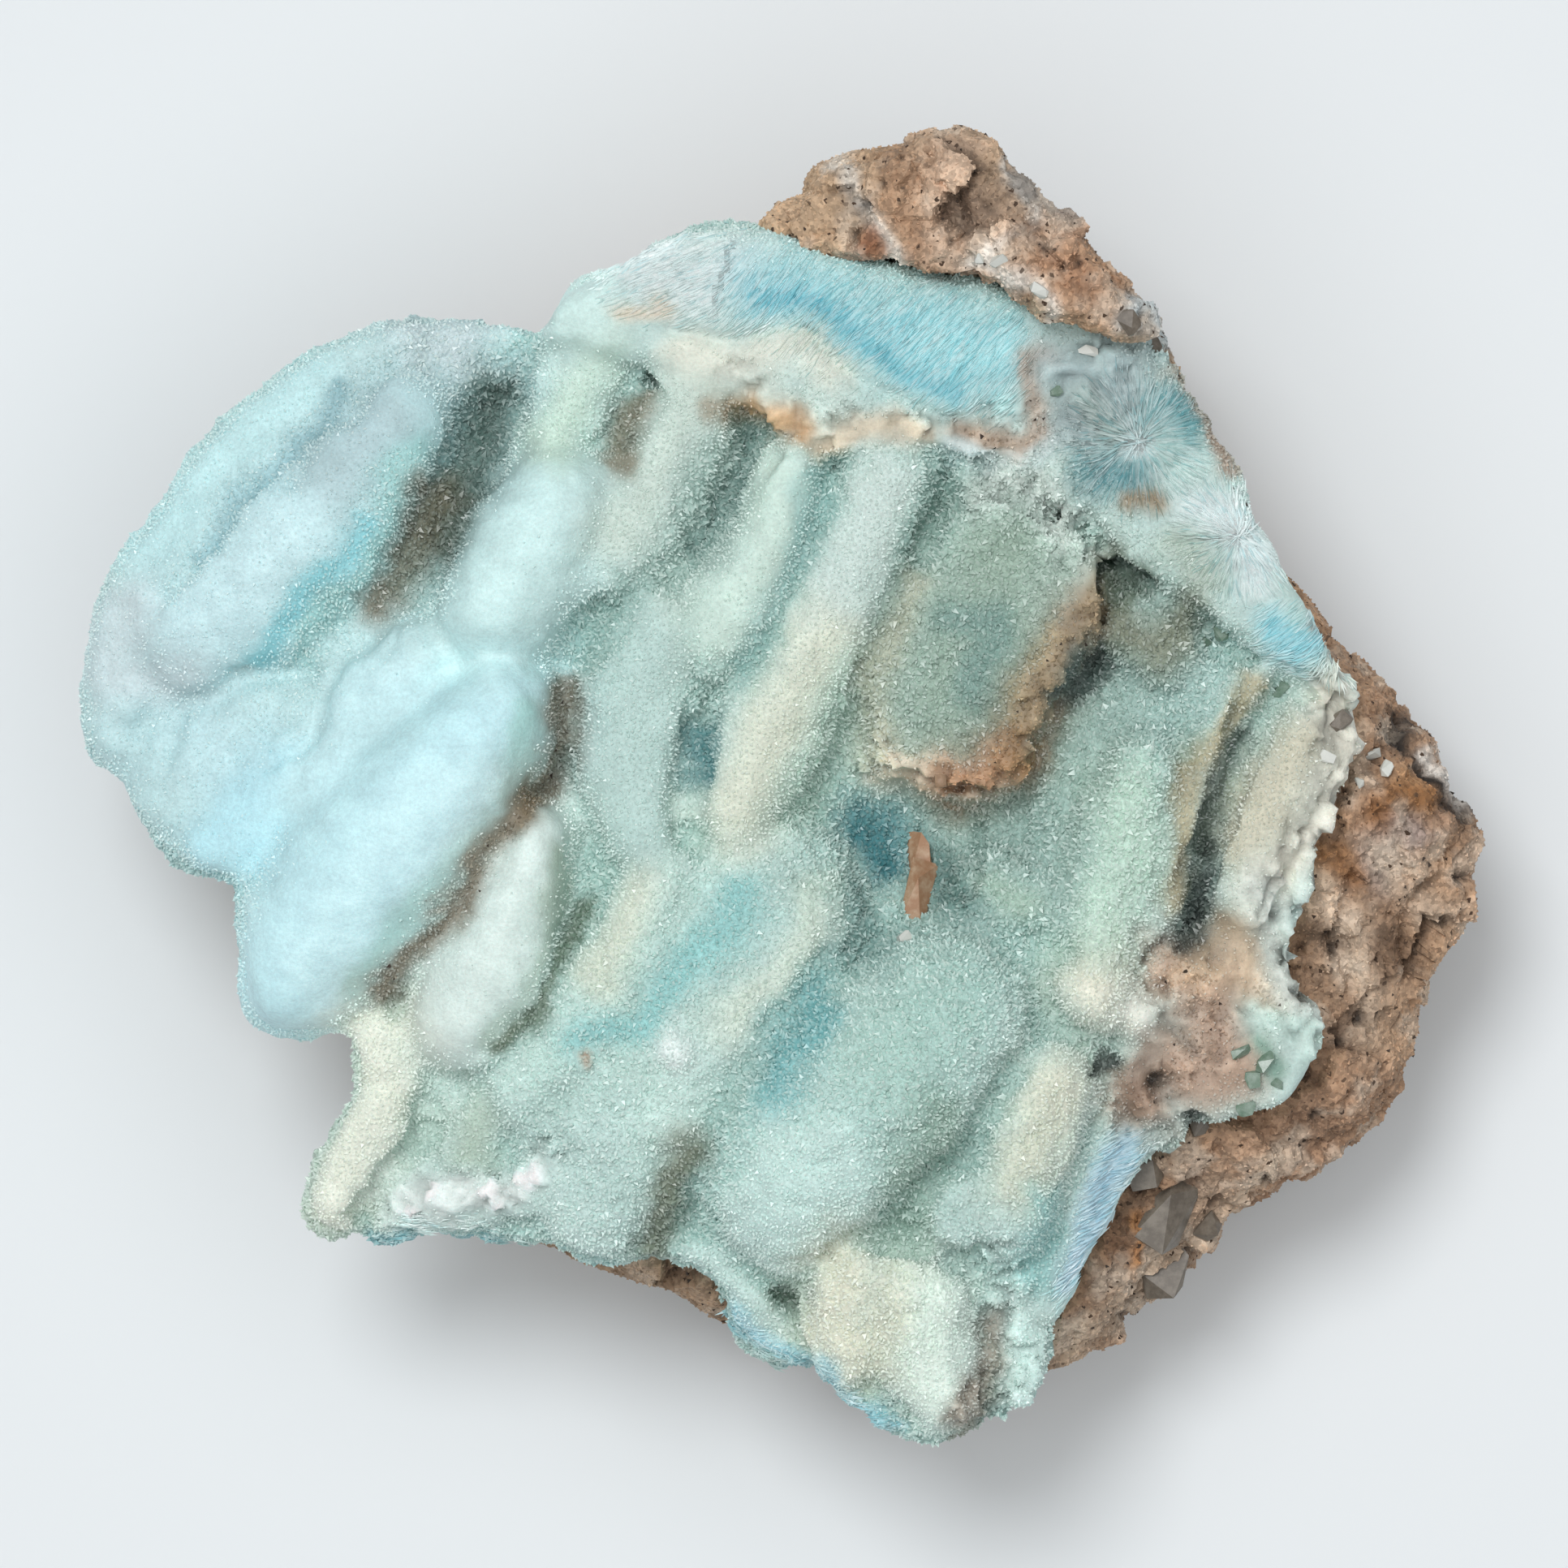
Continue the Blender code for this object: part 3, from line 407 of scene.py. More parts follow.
CRUST_CAD_VOXEL = 0.55  # mm, of the copy of the CAD node
CRUST_VOXEL = 0.51  # mm, of the sculpted crust
CRUST_TRIANGLES = 170000  # the aim for the whole crust, which is thinned only where it lies on the rock
GROWTH = 1.9  # mm, the full height of a growth above the ground, for 1 in the table
GROUND_DROP = 2.8  # mm, how far the ground between the growths lies below the crust's mean level
LOWEST_CHANGE, HIGHEST_CHANGE = -6, 8  # mm, the most that the sculpting moves the CAD's surface
LOBES = {  # rounded growths: height against the others, and the line of (x, y, half width) in mm
    "fan_base": (0.7, [(-38, 24, 14), (-48, 8, 12)]),
    "fan_outer_rib": (1.9, [(-35, 38, 4.6), (-43, 32, 5.8), (-50, 25, 5.8), (-55, 20.6, 4)]),
    "fan_cap": (1, [(-31, 38, 5), (-27, 37, 4.6)]),
    "fan_middle_rib": (3.2, [(-34, 32, 5.6), (-40, 25, 8.2), (-46, 19, 8.8), (-51, 14, 6.4)]),
    "fan_left_rib": (1.6, [(-56.6, 17, 4), (-58.4, 11, 4.6), (-57, 8, 3.4)]),
    "fan_tip": (1.3, [(-58.6, 5, 2.5), (-57.6, 3.6, 2.3)]),
    "fan_lower_rib": (1.7, [(-46, 6, 5), (-51, 1, 5.8), (-53, -2, 4)]),
    "fan_near_rib": (2.1, [(-43, 1.6, 4.4), (-46, -2, 5.2), (-49, -5, 4.4)]),
    "shoulder": (2.3, [(-32, 10.4, 4.6), (-36, 6, 6.2), (-40.6, -0.6, 5.4)]),
    "great_finger": (4, [(-24.6, 6, 5.8), (-29, 1, 7.8), (-34.6, -6, 9.4), (-39.4, -12, 8.6),
                         (-42.4, -16, 6.6)]),
    "egg": (3.6, [(-19.4, 24.6, 5.6), (-22.4, 19.6, 6.9), (-25, 15.4, 5.8)]),
    "lean_finger_top": (3, [(-21.6, -4, 3), (-22.4, -7.4, 4)]),
    "lean_finger_middle": (3.4, [(-23.4, -10, 4.6), (-25, -14.4, 5.8)]),
    "lean_finger_foot": (3.6, [(-26, -16.6, 6), (-27.6, -20, 5.4)]),
    "corner_head": (1.8, [(-35.6, -22, 3.8), (-34.6, -24.6, 3.6)]),
    "corner_finger": (2.5, [(-35.6, -28, 3.4), (-38, -33, 3.8), (-40, -36.6, 3)]),
    "corner_dome": (1.7, [(-27, -28.6, 3.8), (-27.6, -31.4, 3.2)]),
    "corner_ridge": (1.2, [(-32, -33.6, 2.6), (-34.4, -36.8, 2.2)]),
    "broken_ridge": (1.6, [(-31.6, -36, 1.8), (-27, -35.6, 2.1), (-22.6, -35, 2.8), (-20, -32, 1.6)]),
    "saddle_base": (2.4, [(-2, -11, 9), (-10, -19, 11), (-15.6, -30, 9)]),
    "saddle_left": (2.7, [(-11, -8, 3.4), (-12.2, -12, 4), (-15.6, -18, 5), (-19.6, -23, 4.8),
                          (-23, -26.6, 3.6)]),
    "saddle_right": (2.5, [(3, -9.4, 3.2), (1, -13, 3.6), (-4.6, -18.6, 4.4), (-9, -24, 5.2),
                           (-11.6, -29, 5.4)]),
    "saddle_foot": (2.4, [(-15.6, -31, 5.4), (-16.6, -36, 5)]),
    "curtain": (1.9, [(-17, 39, 4.8), (-18.4, 34.6, 4.4), (-19.6, 31, 3.5)]),
    "upper_column": (2.8, [(-8, 35.6, 4.6), (-9.8, 30, 5.2), (-12, 25, 5.4), (-14.4, 20, 4.6)]),
    "drip": (3.6, [(0.4, 27.4, 3.2), (-1.6, 21.6, 4.4), (-4.6, 16, 5.6), (-6.2, 13, 4.8)]),
    "second_ridge": (2.8, [(9, 27, 4.4), (6.4, 21, 5.2), (3.4, 14.6, 5.2)]),
    "long_ridge": (2.9, [(2.6, 13.4, 5.2), (0, 8, 5.6), (-2.8, 2, 5.6), (-4.4, -2, 4.4)]),
    "lower_column": (2.7, [(-11, 13.6, 4.6), (-12.8, 8, 5.6), (-13.4, 2, 5.6), (-12.4, -3, 4.4)]),
    "column_bridge": (1.5, [(-13.4, 20, 5), (-11.4, 13, 5)]),
    "plate_head": (2.6, [(17, 25.6, 3.4), (20.6, 26, 3.4), (23.6, 23.4, 2.6)]),
    "sugar_mound": (2.2, [(30, 14, 4), (32.6, 11.6, 3.6)]),
    "small_mound": (1.4, [(36.6, 8.4, 3)]),
    "basin_mound": (1.8, [(18, -9, 4), (20.6, -9.6, 3.4)]),
    "bank_base": (0.9, [(32, 9, 5), (28, 1, 7), (27, -8, 7)]),
    "bank": (2.8, [(30.4, 1, 4), (29.2, -5, 5), (27.8, -10.6, 4.8), (27.4, -13, 3.8)]),
    "tan_ridge": (2, [(40.6, 9.4, 1.7), (37.2, 5.6, 2.2), (35.6, 0, 2.1), (33.4, -5, 1.7), (33, -9, 2),
                      (32, -13, 1.7)]),
    "outer_ridge": (2.2, [(45, 5, 3.4), (42.8, 0, 3.9), (40.6, -5, 3.7), (39.2, -10, 3.2)]),
    "pitted_bank": (1.1, [(36, -17, 6), (34, -24, 6.4), (41, -21, 6)]),
    "knob": (3.4, [(26.6, -17.4, 4)]),
    "small_knob": (2.4, [(30.6, -19.5, 2.5)]),
    "dome": (4.2, [(14, -19.5, 7.6), (8, -25, 9.2), (1.5, -31.5, 8.9), (0.2, -34.6, 7.4)]),
    "cream_ridge": (2.6, [(23.2, -25.6, 3.8), (21, -31, 4.4), (19.4, -37, 3.8)]),
    "mint_lump": (2.1, [(15, -36.8, 4.2)]),
    "near_lobe_left": (2.7, [(6, -43, 4.2), (5.4, -48, 4)]),
    "near_lobe_right": (2.9, [(11, -45, 5.2), (12.6, -50, 4.7), (14, -54, 3)]),
    "near_shelf": (0.9, [(-7, -41, 2.8), (-3.4, -44.6, 2.4)]),
}
FAR_RIM = [(0, 45.4), (8, 44), (15, 42.6), (23, 41), (29, 39)]  # mm, where the ledge overhangs the rock
SHEETS = {  # broken sheets: height at x = 0 and its rise per mm to the right, roundness of the rim, outline
    "ledge": (4.6, -0.02, 0.9, [
        (-22, 38), (-19.6, 42.4), (-15, 44.6), (-12, 47), (-5, 49.4), (0, 50), (8, 48), (24, 45), (34, 41),
        (38, 34), (42, 26), (48, 16), (52, 9), (49.6, 6), (46, 8.2), (41, 11.4), (36, 14.6), (31, 17.4),
        (28.4, 19.6), (25.6, 22.8), (21, 26.4), (18.4, 27.4), (15, 27.4), (12.4, 28.8), (9, 28.8),
        (6.4, 28.4), (4, 27.8), (1, 29.4), (-0.6, 30.4), (-2.6, 32.4), (-5.4, 33.4), (-9, 34.4),
        (-12, 36), (-15.4, 37)]),
    "plate": (2.2, 0.14, 0.9, [
        (15.5, 25.5), (13.4, 22.4), (11.6, 19.6), (8.2, 17), (7.2, 12.4), (6.2, 8), (7, 4), (8.6, 1),
        (13.4, -1.3), (16.6, -1.7), (19.9, -0.6), (21.8, 3), (23, 8), (25.8, 11.6), (27.4, 15), (27.6, 18.4),
        (25.4, 21.6), (21, 25.4)]),
}
HOLLOWS = {  # deeper ground between the growths: reach and depth in mm, and the line they follow
    "fan_valley": (2.6, 2.8, [(-24.6, 35), (-28.6, 24), (-33, 16)]),
    "finger_lee": (1.5, 2.8, [(-19.5, 7), (-20.6, 3), (-22, -0.6), (-25.4, -5), (-29.6, -11.6),
                              (-35.4, -17.6)]),
    "lean_lee": (1.3, 1.8, [(-17, -2), (-17, -8), (-17.6, -12), (-20, -16.4), (-22.2, -20.6), (-25, -24)]),
    "under_curtain": (1.8, 1.6, [(-13, 33), (-14.6, 28)]),
    "under_lip": (2, 1.8, [(-3.4, 31), (2, 26.4), (14, 26)]),
    "column_foot": (2.4, 1.6, [(-7, 6), (-8.4, -3)]),
    "basin": (6, 2, [(8, -4), (20, -2), (27, 8)]),
    "basin_head": (2.4, 2.4, [(26, 13), (29, 17), (35, 13)]),
    "slot": (1.3, 2.4, [(38.4, 4), (37.2, 0), (36.4, -5)]),
    "slot_foot": (2, 3.4, [(35.9, -7.6), (35.2, -12)]),
    "dome_lee": (2.2, 1.4, [(3, -17), (-3, -26), (-8, -37)]),
    "near_pit": (1.8, 1, [(-1.6, -43), (1, -45)]),
}
CRUST_GROOVES = {  # creases: width and depth in mm, and the line they follow
    "fan_outer_crease": (1, 1, [(-33.6, 36), (-39.6, 31), (-46, 25), (-51, 19.6), (-54.2, 15.6)]),
    "fan_low_crease": (0.9, 0.7, [(-41, 11), (-46, 9), (-51.4, 7), (-53.4, 3)]),
    "shoulder_crease": (0.9, 0.7, [(-33, 14), (-36.6, 11.4), (-40, 8), (-41.2, 4.4), (-45, 2.6)]),
    "corner_valley": (1, 1.3, [(-28, -26), (-31.4, -29.8), (-34, -33), (-36.6, -37)]),
    "column_foot": (1.3, 1.2, [(-7.6, 6), (-8.6, 0), (-8.4, -4.4)]),
    "dome_crease": (1, 0.8, [(19.6, -24), (17.4, -29), (13, -33.6), (11, -38.6)]),
    "near_crease": (0.8, 1, [(3.4, -41.6), (6, -39.6), (12, -40), (17, -40.6)]),
    "plate_hollow": (3.4, 0.7, [(19, 20), (16.6, 13), (15, 8)]),
    "right_crevice": (0.5, 1.4, [(44, 8.2), (46.6, 7.8), (49, 6.4), (49.6, 4.6)]),
    "ledge_step": (0.6, 0.8, [(-11, 39.4), (-4, 38.4), (2, 38.6), (5, 35), (8, 33.4), (13, 32.4),
                              (19, 32.6)]),
    "band_step": (0.4, 0.5, [(15, 30.4), (20, 29.4), (22, 30.4), (22.2, 33), (21.4, 36)]),
}
CRUST_PITS = {  # radius and depth in mm, and their places
    "glassy_pits": (1.2, 1.8, [(27, -23.5), (32.5, -25.5), (35.8, -29)]),
    "side_pits": (0.7, 1.5, [(42.3, -11.2), (42.8, -14), (45.2, -17.4)]),
    "rim_pit": (0.4, 0.9, [(46.6, 13.3)]),
}
CRUST_BUMPS = {  # radius and height in mm, and their places
    "chalk_bump": (1.6, 1.3, [(-9.5, -22.5)]),
    "orange_grain": (0.6, 0.3, [(-17.2, -23.8)]),
    "pink_grain": (0.7, 0.4, [(17.3, 20.8)]),
    "ledge_beads": (0.8, 0.5, [(26.2, 37.5), (24, 35.8), (28, 36), (30, 29.6)]),
}
CRUST_PAINT = {  # soft strokes of colour: reach in mm, and the line of the brush
    "fan": ("#b9dbe0", 13, [(-30, 32), (-45, 20), (-53, 5)]),
    "fan_cap": ("#cbd8dc", 2.8, [(-31.4, 38.8), (-28, 38), (-26.6, 36.4)]),
    "fan_outer_rib": ("#c0e6e9", 2.9, [(-41, 35), (-48, 28.4), (-52, 24), (-55, 20.6)]),
    # painted shade in the valley outside the fan's middle rib
    "fan_outer_valley_shade": ("#83b3bc", 0.9, [(-38.4, 34), (-40, 31.2), (-43, 28), (-46.4, 24.6),
                                          (-50.4, 20.4)]),
    "fan_rib_head": ("#a9c3c8", 3.2, [(-35, 31.6), (-39, 27.4)]),
    "fan_rib": ("#c9e8ed", 3.8, [(-43, 22.4), (-47, 17.6), (-51, 14.2)]),
    "fan_rib_flank": ("#a4d3d2", 1.9, [(-31.6, 29), (-34, 22.6), (-37, 17.6), (-41, 13.4)]),
    "fan_streak": ("#8bd0d9", 1, [(-36.4, 22.2), (-39, 19), (-43, 14), (-45.8, 11.2)]),
    "fan_left": ("#c8d9dd", 2.8, [(-57, 14.6), (-58, 9.4), (-52, 9.4)]),
    "fan_lower": ("#bfe0e5", 3, [(-50, 4), (-47, 1)]),
    "fan_near": ("#b4e3ee", 3, [(-43.6, 2), (-46, -1.6), (-49.6, -5), (-45, -4)]),
    "shoulder": ("#c4e5e9", 3.2, [(-33.4, 10.6), (-38, 6), (-41, 0)]),
    "great_finger": ("#c0eaf3", 7, [(-25, 7), (-30, 1), (-36, -6), (-41, -12), (-43, -17)]),
    # painted highlight along the top of the great finger
    "great_finger_highlight": ("#cef2f8", 3, [(-30, -0.6), (-36, -7), (-41.4, -15.6)]),
    # painted shade on the great finger's lower-right flank
    "great_finger_flank_shade": ("#a4d3cf", 1.2, [(-21.8, 6.4), (-23.4, 0), (-27, -5.6), (-32, -11),
                                            (-37.4, -16.8)]),
    "egg": ("#cbeae9", 5.8, [(-19.4, 25.6), (-22.4, 20), (-25.4, 15)]),
    "lean_finger": ("#dcebe6", 5.2, [(-21.4, -4), (-24, -10), (-27, -16), (-29.4, -21)]),
    # painted shade on the lean finger's lower-right flank
    "lean_finger_flank_shade": ("#a5b8a8", 1, [(-19.4, -6), (-20.2, -12), (-22.6, -18), (-25.6, -22)]),
    "corner": ("#e6e9da", 4.2, [(-35.4, -21), (-35, -27), (-38, -32), (-40, -37)]),
    "corner_dome": ("#adc2b2", 2, [(-26.4, -28.4), (-27.6, -31.6)]),
    "broken_ridge": ("#e8f1ee", 1.5, [(-32, -36), (-27, -35.6), (-22, -34.2)]),
    "left_near_edge": ("#8ac0ca", 0.8, [(-36, -38.8), (-30, -39.2), (-25, -39.8), (-20, -41.2),
                                        (-15, -41.8)]),
    "saddle": ("#c8e3dc", 6, [(-10, -8), (-16, -16), (-20, -23), (-12, -28)]),
    "saddle_edge": ("#d6dccc", 1.8, [(-12, -7), (-13.4, -11), (-16, -16)]),
    "saddle_turquoise": ("#8fcaca", 2, [(-3.4, -9.4), (-6, -12), (-9.4, -17), (-12.6, -20), (-17.6, -22)]),
    "saddle_ridge": ("#cfdccf", 2, [(3, -9.4), (2, -13), (-2, -17), (-5, -20)]),
    "saddle_foot": ("#c6ddd9", 3.6, [(-16, -29), (-17, -35), (-15, -38)]),
    "orange_grain": ("#c7906c", 0.6, [(-17.2, -23.8)]),
    "chalk_bump": ("#ecf5f3", 1.6, [(-9.5, -22.4)]),
    "curtain": ("#c6decf", 3, [(-17, 38), (-18.4, 33), (-20, 30)]),
    "upper_column": ("#c6d6cc", 3.2, [(-8, 35.6), (-9.4, 31), (-12, 26.6), (-14, 22)]),
    # painted shade under the ledge's lip, greyish brown
    "under_lip_shade": ("#a49b87", 1.1, [(-6.4, 33), (-4, 32.4)]),
    # partly the valley's grey-green ground, partly painted shade
    "drip_valley": ("#bccfc8", 2.1, [(-6, 29), (-8, 24), (-9.4, 19), (-10, 14)]),
    # partly the valley's ground, partly painted shade
    "egg_valley_shade": ("#9dbab3", 1.6, [(-14, 16.6), (-15, 13), (-16.6, 10.6)]),
    "drip": ("#c9e0d5", 3.2, [(-0.6, 26), (-2.4, 20), (-5.4, 15), (-6.4, 12.6)]),
    # partly the valley's turquoise ground, partly painted shade
    "ridge_valley_shade": ("#93c4c1", 1.5, [(3, 27.4), (1.6, 21), (-0.6, 15), (-3, 10)]),
    "second_ridge": ("#cbdcd7", 3.3, [(8, 26), (5.6, 20), (3.6, 14)]),
    # partly the valley's ground, partly painted shade
    "plate_valley_shade": ("#7a9d96", 1.2, [(13.4, 26.6), (12, 23), (10, 19.4), (8.6, 15), (7, 11)]),
    "long_ridge_cream": ("#dbdfcd", 3.5, [(3, 12), (1.4, 8), (-1, 4), (-3, 0), (-4.4, -2.4)]),
    "long_ridge_mint": ("#c4dccf", 2.2, [(5, 10), (3, 3), (0.4, -2)]),
    "lower_column": ("#b4d0cb", 3.6, [(-13, 12), (-13, 6), (-13.4, 0), (-12.6, -4)]),
    "ledge_left": ("#cbe6e2", 2.8, [(-19, 41), (-20, 38), (-16, 43)]),
    "ledge_far": ("#dfeaea", 3, [(-12, 44.6), (-8, 44), (-4, 44)]),
    "ledge_cream": ("#dacdb8", 0.8, [(-15, 41), (-12, 40.8), (-11, 42)]),
    "ledge": ("#9bd9e2", 4, [(0, 42), (6, 40), (12, 38), (17, 37)]),
    "ledge_deep": ("#72c0ce", 1.1, [(-2, 42.2), (2, 41), (6, 39.6)]),
    "ledge_deep_low": ("#74c2cf", 1, [(7, 38), (10, 35.6), (14, 34.6)]),
    "ledge_bright": ("#b5e7eb", 1.6, [(12, 38.6), (17, 36.6), (19, 38)]),
    "ledge_rim": ("#dfe2d4", 1.9, [(-9, 37.6), (-5, 36.4), (-2, 37), (2, 37.4), (4, 35)]),
    "stain": ("#c59a69", 1.4, [(-2.6, 33), (-1, 32.6), (1, 31)]),
    "lip": ("#dccbb0", 1.2, [(3, 29.4), (5, 30.6), (9, 30.8), (12, 30.4)]),
    "lip_ice": ("#d6e8eb", 1.6, [(15, 29), (18, 28.4), (22, 29)]),
    "rust_band": ("#b8977c", 1.2, [(15, 31), (18, 30.6), (20, 30), (21.6, 30.4), (21.8, 32.6), (21, 34.6),
                                  (20.8, 36.4), (22.6, 37)]),
    "band": ("#93a5a8", 3.2, [(24, 36), (27, 34), (25, 31), (28, 32), (29, 37)]),
    "band_green": ("#a2b6b1", 1.4, [(26, 33), (28, 31)]),
    "spray_teal": ("#4f8f98", 2.2, [(26, 26), (28, 26.6), (29.6, 25.8)]),
    "spray_teal_far": ("#5f9fa6", 1.9, [(33, 32.6), (34.6, 31)]),
    "spray_white": ("#e8f4f5", 1.3, [(30.2, 29.4)]),
    "star": ("#e6f1f2", 2.4, [(36, 23.6), (38, 22.6), (39, 21), (40, 19)]),
    "star_green": ("#b6c7ba", 1.9, [(33, 20.4), (35, 17.8)]),
    "aqua_end": ("#9adae5", 1.7, [(42, 14), (44.4, 12.6), (46, 13.4)]),
    "rim_rust": ("#a58c79", 1, [(33.4, 36), (35, 33.6), (37, 31), (38.2, 28)]),
    "rim_rust_near": ("#a28571", 0.7, [(46.4, 14.4), (48.4, 12.6), (50.4, 10.4)]),
    "basin": ("#a6bcb4", 6.4, [(26, 6), (24, 0), (19, -4), (14, -4)]),
    "plate": ("#adbcab", 6.5, [(19, 20), (16, 13), (14, 7)]),
    "plate_teal": ("#8aaaa3", 2, [(15, 14), (17.4, 14.6), (16.4, 9), (17, 7.4)]),
    "plate_left": ("#c6c2ad", 1.6, [(11, 17.4), (9, 13), (7.6, 9), (7.6, 6.4)]),
    "plate_near": ("#dfd0b8", 1.9, [(8, 3.6), (9, 1.8), (11, 1.4), (12.6, 1)]),
    "plate_rust": ("#ad7c54", 2.6, [(14, 0.2), (16.6, 1), (19, 2.4)]),
    "plate_tan": ("#94754f", 2.7, [(20.4, 4), (21.6, 8), (22.6, 10.6), (25, 13.4), (26.6, 16.4)]),
    "plate_inner": ("#ab9c7d", 1, [(20, 6), (20.8, 10), (23, 13)]),
    "plate_head": ("#e2e7e0", 1.9, [(17, 25), (19, 26.6), (22, 25), (23.6, 22.6)]),
    # painted shade in the hollow beside the plate's right edge
    "hollow": ("#5a6c5c", 1.4, [(28, 18.4), (29, 16.4), (30, 18)]),
    "plate_shade": ("#4a5f5d", 1.4, [(27.6, 12), (25.6, 10.4), (24, 8.4)]),
    "hollow_sugar": ("#8b866e", 2.4, [(30, 14), (32, 12), (33.6, 14)]),
    "basin_dark": ("#5b7f7b", 1.8, [(13, -7), (15, -10)]),
    "basin_left": ("#86a8a5", 2, [(6, -10), (8, -14), (5, -15)]),
    "basin_mound": ("#bacebe", 1.7, [(18, -9), (20, -9.6)]),
    "bank": ("#d8eadb", 3.8, [(29, -1), (29.4, -6), (28, -10), (27, -13)]),
    "tan_ridge": ("#b3a785", 1.2, [(40, 9), (37, 5.4), (35, 1), (34, -4), (33, -9)]),
    "outer_ridge": ("#c6bfa8", 3.3, [(44.6, 4), (42, 0), (40, -4)]),
    "outer_mint": ("#cfd8c9", 1.7, [(42, -6), (40.6, -9), (39.6, -12)]),
    "pink_bank": ("#b48f76", 3.4, [(34, -16), (37, -17), (36, -22), (38, -25), (33, -24), (31, -27)]),
    "pink_bank_dark": ("#8c7361", 1.4, [(31, -21.6), (29, -24.6), (32, -28)]),
    "cream_bank": ("#c6ae91", 2.2, [(36, -15.4), (38.4, -12.6), (39.6, -16), (42.4, -18.4)]),
    "outer_rim": ("#dcd8ca", 2.4, [(47, 8), (49, 3), (46.6, -2), (43, -7)]),
    "outer_low": ("#d3dad3", 2, [(41.4, -9), (42, -13.6), (45, -18.4), (46.6, -22)]),
    "spray_brown": ("#98805f", 0.8, [(29, 23.6), (32, 24.8)]),
    "knob": ("#dedccb", 3.6, [(26.5, -17.5)]),
    "small_knob": ("#eff1e6", 2, [(30.6, -19.5)]),
    "right_mint": ("#bcd6ce", 1.6, [(41, -20.4), (44, -21), (46.4, -22), (45.8, -23.4)]),
    "right_glass": ("#7aa192", 1.1, [(40, -22.6), (42, -25)]),
    "dome": ("#b9d7cf", 6, [(13, -19), (9, -23)]),
    "dome_teal": ("#7abec3", 2, [(2.4, -18.6), (0.6, -23), (-1, -27)]),
    "low_dome": ("#cbe7e2", 5.4, [(-2, -33), (1, -35), (4, -33)]),
    "dome_sage": ("#9bb7a9", 2.4, [(12, -32), (13, -28), (10, -37)]),
    "cream_ridge": ("#dadbc8", 2.8, [(23.4, -25), (21.4, -30), (20, -34)]),
    "teal_blotch": ("#94c8c6", 1.7, [(22, -35), (22, -39), (21.4, -42)]),
    "blue_edge": ("#a4c6d7", 1.2, [(30, -31.4), (27.4, -34.6), (25.4, -38), (24.4, -42)]),
    "near_lobe": ("#e6e4d0", 4, [(5, -42.4), (4, -47), (8, -49), (10, -44)]),
    "near_mint": ("#e2f1e7", 2.6, [(13, -44), (12, -49), (14, -52)]),
    # painted shade in the small pit near the front edge
    "near_pit": ("#38553f", 1, [(-0.4, -43.8), (0.6, -44.4)]),
    "near_edge": ("#9accd8", 0.9, [(-5, -46), (0, -48.6), (3, -50.6), (6, -52.8), (9, -54.6)]),
    "near_flank": ("#9b8d7e", 1.6, [(17.4, -47), (17, -51), (15, -55.4)]),
    # The last strokes paint shade into the valleys, the lee sides of the fingers, the hollows and the slot,
    # over the brown and teal ground there: partly that ground's colour, partly painted shade.
    "fan_valley": ("#41564a", 2.4, [(-25.6, 33), (-26.8, 28), (-28.8, 24), (-29.4, 21.6)]),
    "fan_valley_brown_shade": ("#776b54", 1.6, [(-29.8, 25.4), (-31.8, 20.4), (-33.6, 17), (-35.4, 14.8)]),
    "great_finger_lee": ("#75674f", 1.6, [(-18.8, 8), (-19.4, 3), (-21, 0), (-23, -2)]),
    "great_finger_low_lee_shade": ("#7b6c55", 1.2, [(-22.6, -1.4), (-25.4, -5), (-29.4, -11.4), (-35, -17.4)]),
    "lean_lee": ("#6e7e67", 0.9, [(-17.6, -10), (-18.8, -15), (-21, -19), (-24.2, -23)]),
    "curtain_hollow_shade": ("#837963", 1.2, [(-13, 33), (-14.2, 30), (-15, 27.6)]),
    "drip_valley_dark_shade": ("#84a09a", 1.3, [(-3.6, 30), (-5, 26), (-7.4, 20)]),
    "column_foot": ("#44888e", 1, [(-6.8, 5.4), (-7.4, 3.4), (-8, 0.4)]),
    "basin_teal": ("#4a8d95", 2.4, [(6, -2.4), (8, -3.6), (9, -5)]),
    "basin_deep": ("#257781", 1.3, [(6.4, -4), (8.4, -6.2)]),
    "saddle_brown_shade": ("#7d7d66", 1.6, [(-8.6, -31), (-10, -35), (-11.6, -39.6)]),
    "slot": ("#39453a", 1.2, [(38.6, 4.4), (37, 0), (36.2, -5)]),
    "slot_low_shade": ("#20211b", 2, [(36, -8), (35, -12.6)]),
}

